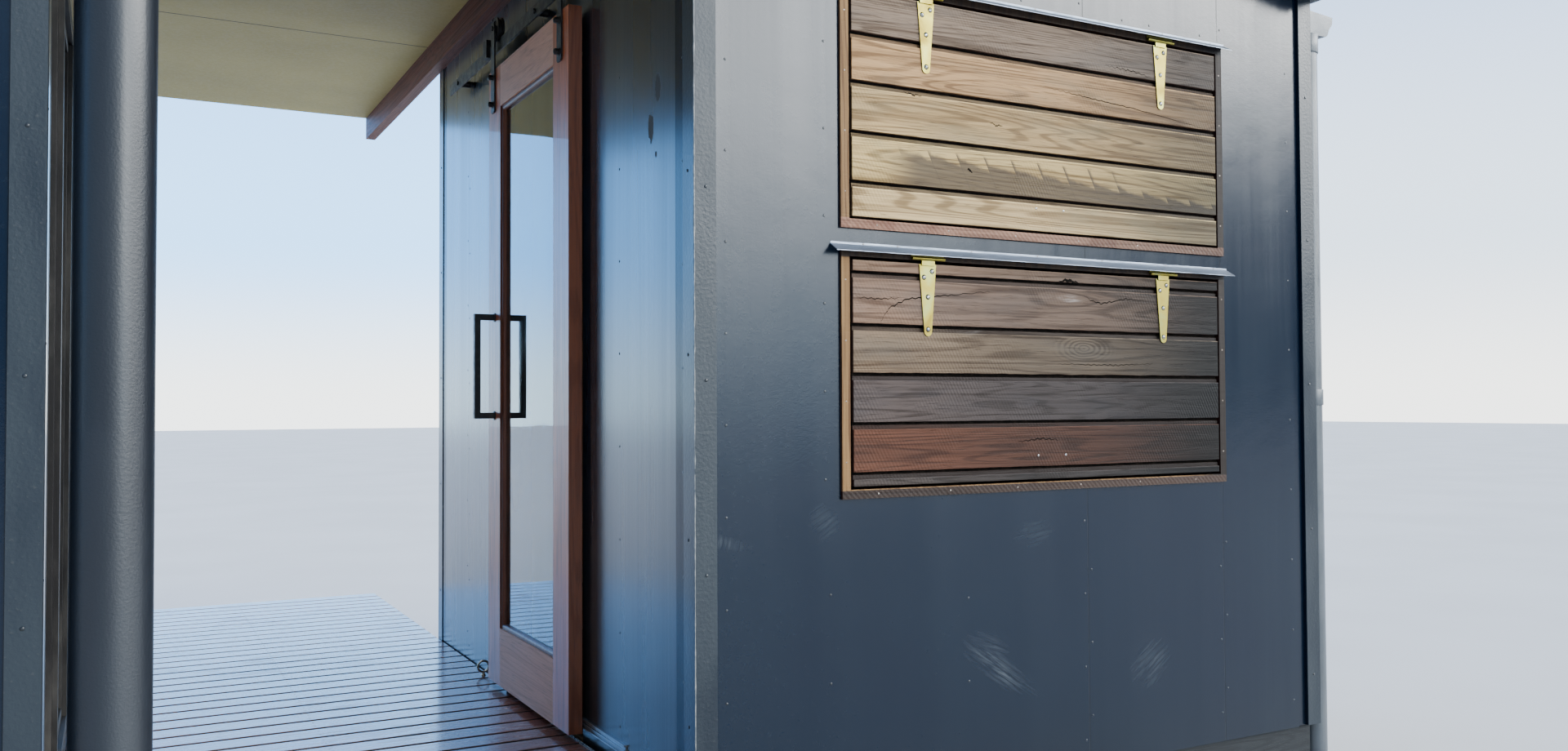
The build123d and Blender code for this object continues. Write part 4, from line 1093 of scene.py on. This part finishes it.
def drying_crack(points, width):
    """a hairline split drawn as a thin strip of painted shade following the points across a board's face, closing at
    both ends
    """
    bpy.ops.object.select_all(action="DESELECT")
    bpy.ops.mesh.primitive_plane_add(size=1, location=(0, 0, 0), rotation=(math.radians(90), 0, 0))
    bpy.ops.object.transform_apply(location=True, rotation=True, scale=True)
    crack = bpy.context.active_object
    cut_across(crack, 0, 0.5, 47)
    for vertex in crack.data.vertices:
        share = min(max(vertex.co.x + 0.5, 0.0), 1.0) * (len(points) - 1)
        leg = min(int(share), len(points) - 2)
        part = share - leg
        part = part * part * (3 - 2 * part) * 0.4 + part * 0.6
        x = points[leg][0] + (points[leg + 1][0] - points[leg][0]) * part
        z = points[leg][1] + (points[leg + 1][1] - points[leg][1]) * part
        z += 0.0016 * math.sin(x * 310.0) + 0.0009 * math.sin(x * 870.0)
        whole = share / (len(points) - 1)
        half = width * (0.18 + 0.82 * math.sin(math.pi * whole)) / 2
        vertex.co = (x, hatch_face - 0.00025, z + (half if vertex.co.z > 0 else -half))
    crack.data.update()
    return crack


upper_cracks = gathered("upper_cracks", [
    drying_crack(((1.679, 2.225), (1.820, 2.214), (1.982, 2.203), (2.294, 2.175)), 0.0022),
    drying_crack(((1.220, 2.155), (1.255, 2.151), (1.277, 2.152)), 0.0034),
    drying_crack(((1.495, 2.107), (1.520, 2.100), (1.538, 2.103)), 0.0032),
    drying_crack(((1.901, 2.312), (2.012, 2.308), (2.082, 2.298)), 0.0022),
    drying_crack(((1.421, 1.975), (1.428, 1.974), (1.437, 1.970)), 0.0065),
], painted_shade_finish)
lower_cracks = gathered("lower_cracks", [
    drying_crack(((1.147, 1.568), (1.173, 1.604), (1.228, 1.629), (1.346, 1.642), (1.492, 1.658)), 0.0030),
    drying_crack(((1.077, 1.628), (1.134, 1.626), (1.205, 1.630)), 0.0022),
    drying_crack(((1.815, 1.662), (1.842, 1.648), (1.881, 1.640), (1.973, 1.657), (2.042, 1.654)), 0.0028),
    drying_crack(((1.578, 1.261), (1.659, 1.269), (1.719, 1.265)), 0.0030),
    drying_crack(((1.719, 1.471), (1.921, 1.469), (2.072, 1.475)), 0.0020),
    drying_crack(((1.728, 1.6945), (1.752, 1.7000), (1.770, 1.6985), (1.800, 1.6940)), 0.0090),
], painted_shade_finish)
for cracks, hatch in ((upper_cracks, "upper"), (lower_cracks, "lower")):
    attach(cracks, hatch + "_hatch")


# The hatch frames: sawn battens that line each opening and stand a little proud of the
# wall. The uprights are golden and the right ones nearly black, the upper sill is pink and
# darker towards the right, and the lower sill nearly black. The heads under the flashings
# and the battens' side faces are painted dark as painted shade.
batten_timber = new_finish("sawn hatch battens", specular=0.15)
upright_grain, upright_fibres, _ = grain_of(batten_timber, "Z", 3.0)
sill_grain, _, _ = grain_of(batten_timber, "X", 3.0)
batten_x, _, batten_z = apart(batten_timber)
lift_in_hatch = (batten_z - (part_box("hatch_battens")[0].z - 0.005)) % (upper_barrel - lower_barrel)
on_sill = spread(lift_in_hatch, 0.0250, 0.0260, 1.0, 0.0)
upright_colour = shades(upright_grain, (0.28, (0.090, 0.042, 0.015)), (0.72, (0.220, 0.120, 0.044)))
sill_colour = shades(sill_grain, (0.28, (0.125, 0.058, 0.036)), (0.72, (0.320, 0.168, 0.105)))
worn_red = spread(mottle(batten_timber, 9.0, 4.0, 0.6), 0.50, 0.68, 0.0, 0.55)
sill_colour = mixed(worn_red, sill_colour, (0.100, 0.030, 0.018))
lower_sill = spread(batten_z, 1.30, 1.60, 0.94, 0.0)
sill_colour = mixed(lower_sill, sill_colour, (0.010, 0.007, 0.006))
sill_right = spread(batten_x, 1.10, 2.33, 0.0, 0.72)
sill_colour = mixed(sill_right, sill_colour, (0.045, 0.024, 0.016))
far_upright = spread(batten_x, 2.20, 2.33, 0.0, 0.97)
upright_colour = mixed(far_upright, upright_colour, (0.006, 0.003, 0.002))
batten_colour = mixed(on_sill, upright_colour, sill_colour)
# The heads under the flashings and the battens' side faces are painted nearly black as painted shade.
shaded_head = spread(lift_in_hatch, 0.598, 0.604, 0.0, 0.88)
batten_colour = mixed(shaded_head, batten_colour, (0.006, 0.005, 0.006))
shaded_batten_sides = spread(abs(facing_of(batten_timber)[1]), 0.4, 0.8, 0.78, 0.0)
batten_colour = mixed(shaded_batten_sides, batten_colour, (0.020, 0.006, 0.005))
give(batten_timber, "Base Color", batten_colour)
give(batten_timber, "Roughness", spread(upright_fibres, 0.2, 0.8, 0.66, 0.48))
sill_saw = reckon("SINE", (batten_x + batten_z) * 420.0) * 0.25
relief(batten_timber, upright_grain + sill_grain + sill_saw * on_sill, 0.0008)
coat_node(batten_timber, "hatch_battens")

batten_nails = []
batten_low, batten_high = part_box("hatch_battens")
batten_nail_radius, batten_nail_rise = 0.0026, 0.0007
for barrel, drop in ((upper_barrel, 0.608), (lower_barrel, 0.603)):
    for left, lift, count, step in (
        (batten_low.x + 0.012, 0.090, 4, (0, 0, 0.150)), (batten_high.x - 0.012, 0.090, 4, (0, 0, 0.150)),
        (batten_low.x + 0.105, 0.011, 6, (0.220, 0, 0)),
    ):
        place = (left, batten_low.y + 0.0003, barrel - drop + lift)
        batten_nails.append(nail(place, batten_nail_radius, batten_nail_rise, (0, -1, 0), 10, count, step))
batten_nails = gathered("batten_nails", batten_nails, screw_steel)
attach(batten_nails, "building")


# The flashings: zinc-grey sheet folded over the head of each hatch frame, nailed to the
# wall through its narrow upstand and sloping out to a sharp drip.
flashing_metal = new_finish("folded zinc flashing", metallic=0.65)
zinc_cloud = mottle(lie(flashing_metal, (2.0, 6.0, 6.0)), 3.0, 5.0, 0.62, 0.4)
zinc_scratch = mottle(lie(flashing_metal, (8.0, 300.0, 300.0)), 1.0, 3.0, 0.5)
dress(
    flashing_metal,
    shades(
        zinc_cloud * 0.7 + zinc_scratch * 0.3, (0.32, (0.10, 0.125, 0.16)), (0.52, (0.18, 0.21, 0.26)),
        (0.72, (0.30, 0.33, 0.38))
    ),
    zinc_scratch + zinc_cloud * 3.0, 0.0009, spread(zinc_cloud, 0.3, 0.75, 0.26, 0.52)
)
coat_node(flashing_metal, "flashings")
flash_low, flash_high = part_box("flashings")
flashing_nails = []
for barrel in (upper_barrel, lower_barrel):
    for nail_x in (flash_low.x + 0.095, 1.205, 1.437, 1.659, 1.891, 2.133, flash_high.x - 0.055):
        flashing_nails.append(nail((nail_x, front_y - 0.0015, barrel + 0.0285), 0.0024, 0.0010, (0, -1, 0)))
flashing_nails = gathered("flashing_nails", flashing_nails, screw_steel)
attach(flashing_nails, "building")


# The tee hinges: yellow zinc-plated steel, a rolled barrel on a pin with a long tapered
# strap, four pan-head screws through each strap into the hatch boards.
zinc_steel = new_finish("yellow zinc plate", metallic=1.0)
zinc_patches = mottle(zinc_steel, 16.0, 3.0, 0.5, 0.4)
zinc_fine = mottle(zinc_steel, 150.0, 3.0, 0.6)
zinc_colour = shades(
    zinc_patches, (0.30, (0.18, 0.130, 0.023)), (0.50, (0.215, 0.175, 0.035)), (0.70, (0.20, 0.205, 0.068))
)
zinc_colour = mixed(spread(zinc_fine, 0.62, 0.78, 0.0, 0.30), zinc_colour, (0.22, 0.16, 0.07))
dress(zinc_steel, zinc_colour, zinc_fine, 0.0001, spread(zinc_patches, 0.3, 0.7, 0.46, 0.34))
coat_node(zinc_steel, "hinge_plates", "upper_hinge_straps", "lower_hinge_straps")


def cross_screw(centre, radius, rise, turn):
    """a domed screw head with a crossed slot, facing the front"""
    head = nail(centre, radius, rise, (0, -1, 0), 20)
    long_half, thin_half = radius * 0.58, radius * 0.12
    bars = []
    for half_x, half_z in ((long_half, thin_half), (thin_half, long_half)):
        bars.append(block(
            (centre[0] - half_x, centre[1] - 2 * rise, centre[2] - half_z),
            (centre[0] + half_x, centre[1] - 0.35 * rise, centre[2] + half_z),
        ))
    for bar in bars:
        bpy.ops.object.select_all(action="DESELECT")
        bar.select_set(True)
        bpy.context.view_layer.objects.active = bar
        bpy.ops.object.mode_set(mode="EDIT")
        bpy.ops.mesh.select_all(action="SELECT")
        bpy.ops.transform.rotate(value=math.radians(turn), orient_axis="Y", center_override=centre)
        bpy.ops.object.mode_set(mode="OBJECT")
        slotted = head.modifiers.new("slot", "BOOLEAN")
        slotted.operation = "DIFFERENCE"
        slotted.solver = "EXACT"
        slotted.object = bar
        bpy.context.view_layer.objects.active = head
        bpy.ops.object.modifier_apply(modifier=slotted.name)
        bpy.data.objects.remove(bar)
    return head


bright_screws = new_finish("bright screw heads", metallic=1.0)
screw_dirt = mottle(bright_screws, 320.0, 3.0, 0.6)
dress(
    bright_screws, shades(screw_dirt, (0.42, (0.16, 0.15, 0.14)), (0.60, (0.66, 0.66, 0.63))), screw_dirt, 0.0002,
    spread(screw_dirt, 0.3, 0.7, 0.44, 0.18)
)
strap_low, strap_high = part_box("upper_hinge_straps")
strap_lines = (strap_low.x + 0.0260, strap_high.x - 0.0260)
strap_front = hatch_face - 0.003
strap_holes = ((0.013, 0.031), (-0.012, 0.047), (0.0, 0.097), (0.0, 0.180))
screw_turns = (12, 57, 33, 78, 5, 41, 66, 24)
pan_radius, pan_rise, shadow_ring_radius, shadow_ring_rise = 0.0056, 0.0030, 0.0070, 0.0003
for hatch, barrel in (("upper", upper_barrel), ("lower", lower_barrel)):
    screws, shadow_rings = [], []
    for line_place, strap_line in enumerate(strap_lines):
        for hole, (aside, drop) in enumerate(strap_holes):
            place = (strap_line + aside, strap_front, barrel - drop)
            turn = screw_turns[line_place * len(strap_holes) + hole]
            screws.append(cross_screw(place, pan_radius, pan_rise, turn))
            # A dark disc under each pan-head screw, painted shadow round the head.
            shadow_rings.append(nail(place, shadow_ring_radius, shadow_ring_rise, (0, -1, 0), 20))
    board_screw_lift = {"upper": 1.890, "lower": 1.224}[hatch]
    for screw_x, turn in ((1.650, 20), (1.746, 63)):
        screws.append(cross_screw((screw_x, hatch_face, board_screw_lift), 0.0034, 0.0014, turn))
    hinge_screws = gathered(hatch + "_hinge_screws", screws, bright_screws)
    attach(hinge_screws, hatch + "_hatch")
    screw_shadow_rings = gathered(hatch + "_screw_rings", shadow_rings, painted_shade_finish)
    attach(screw_shadow_rings, hatch + "_hatch")


# The roof timbers and ceiling: reddish hardwood beams along both passage walls, rafters
# between them, and sheets of cream board nailed up under the rafters with one butt joint.
beam_finish, _ = timber(
    "oiled hardwood beams", "Y", (0.170, 0.042, 0.020), (0.070, 0.015, 0.008), 0.54, 0.0, rings=7.0, specular=0.25
)
rafter_finish, _ = timber(
    "hardwood rafters", "X", (0.160, 0.050, 0.025), (0.068, 0.019, 0.010), 0.48, 0.10, rings=6.0
)
coat_node(beam_finish, "roof_beams")
coat_node(rafter_finish, "roof_rafters")

soffit_finish = new_finish("cream ceiling sheets")
soffit_cloud = mottle(soffit_finish, 1.4, 4.0, 0.55)
soffit_fine = mottle(soffit_finish, 90.0, 3.0, 0.6)
soffit_colour = shades(soffit_cloud, (0.3, (0.38, 0.300, 0.080)), (0.7, (0.46, 0.370, 0.105)))
soffit_y = apart(soffit_finish)[1]
soffit_seam = sheet_joints(soffit_y, (front_y + 2.548,), 0.0030)
dress(
    soffit_finish,
    mixed(
        soffit_seam, mixed(spread(soffit_fine, 0.60, 0.78, 0.0, 0.25), soffit_colour, (0.36, 0.32, 0.24)),
        (0.012, 0.007, 0.006)
    ),
    soffit_fine + soffit_cloud * 3.0, 0.0006, spread(soffit_fine, 0.3, 0.7, 0.52, 0.70)
)
coat_node(soffit_finish, "soffit")

ceiling_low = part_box("soffit")[0]
ceiling_nails = []
for nail_y in (-1.890, -1.255, -0.600, 0.052, 0.600, 0.640, 1.345, 1.985):
    place = (ceiling_low.x + 0.040, nail_y, ceiling_low.z)
    ceiling_nails.append(nail(place, 0.0032, 0.0010, (0, 0, -1), 8, 6, (0.2225, 0, 0)))
ceiling_nails = gathered("ceiling_nails", ceiling_nails, soffit_finish)
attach(ceiling_nails, "building")


# The roofs: painted ribbed sheet falling outwards over each pod and flat over the
# passage, screwed through the ribs, with folded caps on the front and back edges.
roof_metal = new_finish("painted roof sheet", metallic=0.15)
roof_cloud = mottle(lie(roof_metal, (0.8, 0.8, 0.8)), 1.5, 5.0, 0.6)
roof_drift = mottle(lie(roof_metal, (1.2, 9.0, 1.0)), 2.0, 4.0, 0.6)
roof_colour = shades(roof_cloud, (0.3, (0.12, 0.14, 0.16)), (0.7, (0.18, 0.20, 0.22)))
dress(
    roof_metal, mixed(spread(roof_drift, 0.50, 0.75, 0.0, 0.45), roof_colour, (0.30, 0.28, 0.24)),
    mottle(roof_metal, 240.0, 2.0), 0.0005, spread(roof_drift, 0.3, 0.7, 0.32, 0.58)
)
coat_node(roof_metal, "pod_roofs", "breezeway_roof")

gutter_paint = new_finish("painted gutters and caps", metallic=0.1)
gutter_cloud = mottle(lie(gutter_paint, (3.0, 1.0, 3.0)), 2.0, 5.0, 0.6, 0.3)
gutter_grime = mottle(lie(gutter_paint, (5.0, 5.0, 1.2)), 4.0, 4.0, 0.62)
gutter_colour = shades(gutter_cloud, (0.3, (0.050, 0.060, 0.070)), (0.7, (0.080, 0.092, 0.105)))
dress(
    gutter_paint, mixed(spread(gutter_grime, 0.55, 0.80, 0.0, 0.5), gutter_colour, (0.12, 0.115, 0.10)),
    mottle(gutter_paint, 300.0, 2.0), 0.0004, spread(gutter_cloud, 0.3, 0.7, 0.28, 0.48)
)
coat_node(gutter_paint, "barge_caps", "gutters", "downpipes")

roof_low, roof_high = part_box("pod_roofs")
roof_fall, roof_run = 0.245, 2.128
ridge_height, rib_height, rib_inset = 2.895, 0.0765, 0.055
ribbed_length = roof_high.y - roof_low.y - 2 * rib_inset
rib_bays = round(ribbed_length / 0.200)
rib_step = ribbed_length / rib_bays
roof_screw = (0.0085, 0.0060, (0, 0, 1), 12)
roof_screws = []
for from_ridge in (0.260, 0.860, 1.460, 2.060):
    rib_top = ridge_height + rib_height - from_ridge * roof_fall / roof_run
    for side in (-1, 1):
        place = (side * (inner_x + from_ridge), roof_low.y + rib_inset, rib_top - 0.0006)
        roof_screws.append(nail(place, *roof_screw, rib_bays + 1, (0, rib_step, 0)))
passage_low, passage_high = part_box("breezeway_roof")
for rib in range(6):
    place = (-0.475 + 0.190 * rib, passage_low.y + 0.150, passage_high.z - 0.0265)
    roof_screws.append(nail(place, *roof_screw, 7, (0, 0.632, 0)))
roof_screws = gathered("roof_screws", roof_screws, galvanised)
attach(roof_screws, "building")


# The gutters and downpipes: painted quad gutter hung along both outer walls on straps,
# with a round pipe clipped to each front corner and a collar under the gutter's outlet.
gutter_low, gutter_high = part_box("gutters")
gutter_back = outer_x + 0.003
strap_count, strap_pitch = 5, 0.555
strap_pieces = []
for side in (-1, 1):
    strap_left, strap_right = sorted((side * gutter_back, side * (gutter_high.x - 0.003)))
    strap = block(
        (strap_left, gutter_low.y + 0.120, gutter_high.z - 0.0125),
        (strap_right, gutter_low.y + 0.142, gutter_high.z - 0.0105)
    )
    strap_pieces.append(repeated(eased(strap, 0.0006), strap_count, (0, strap_pitch, 0)))
pipe_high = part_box("downpipes")[1]
pipe_x = gutter_back + 0.042
pipe_y = pipe_high.y - 0.040
for side in (-1, 1):
    for collar_z, collar_depth in ((gutter_low.z - 0.030, 0.060), (1.380, 0.050)):
        collar = eased(rod((side * pipe_x, pipe_y, collar_z), 0.0435, collar_depth, 48), 0.0015)
        bpy.ops.object.shade_smooth_by_angle(angle=math.radians(40))
        strap_pieces.append(collar)
gutter_fittings = gathered("gutter_fittings", strap_pieces, gutter_paint)
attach(gutter_fittings, "building")


# The column: a round steel tube painted charcoal that carries the front of the
# passage roof, on a base plate bolted to the deck.
column_paint = new_finish("charcoal column paint", coat=0.10)
column_cloud = mottle(lie(column_paint, (4.0, 4.0, 0.5)), 2.0, 4.0, 0.6, 0.3)
dress(
    column_paint, shades(column_cloud, (0.3, (0.0025, 0.0045, 0.0085)), (0.7, (0.006, 0.010, 0.016))),
    mottle(column_paint, 180.0, 2.0), 0.0004, spread(column_cloud, 0.3, 0.7, 0.40, 0.54)
)
coat_node(column_paint, "column")
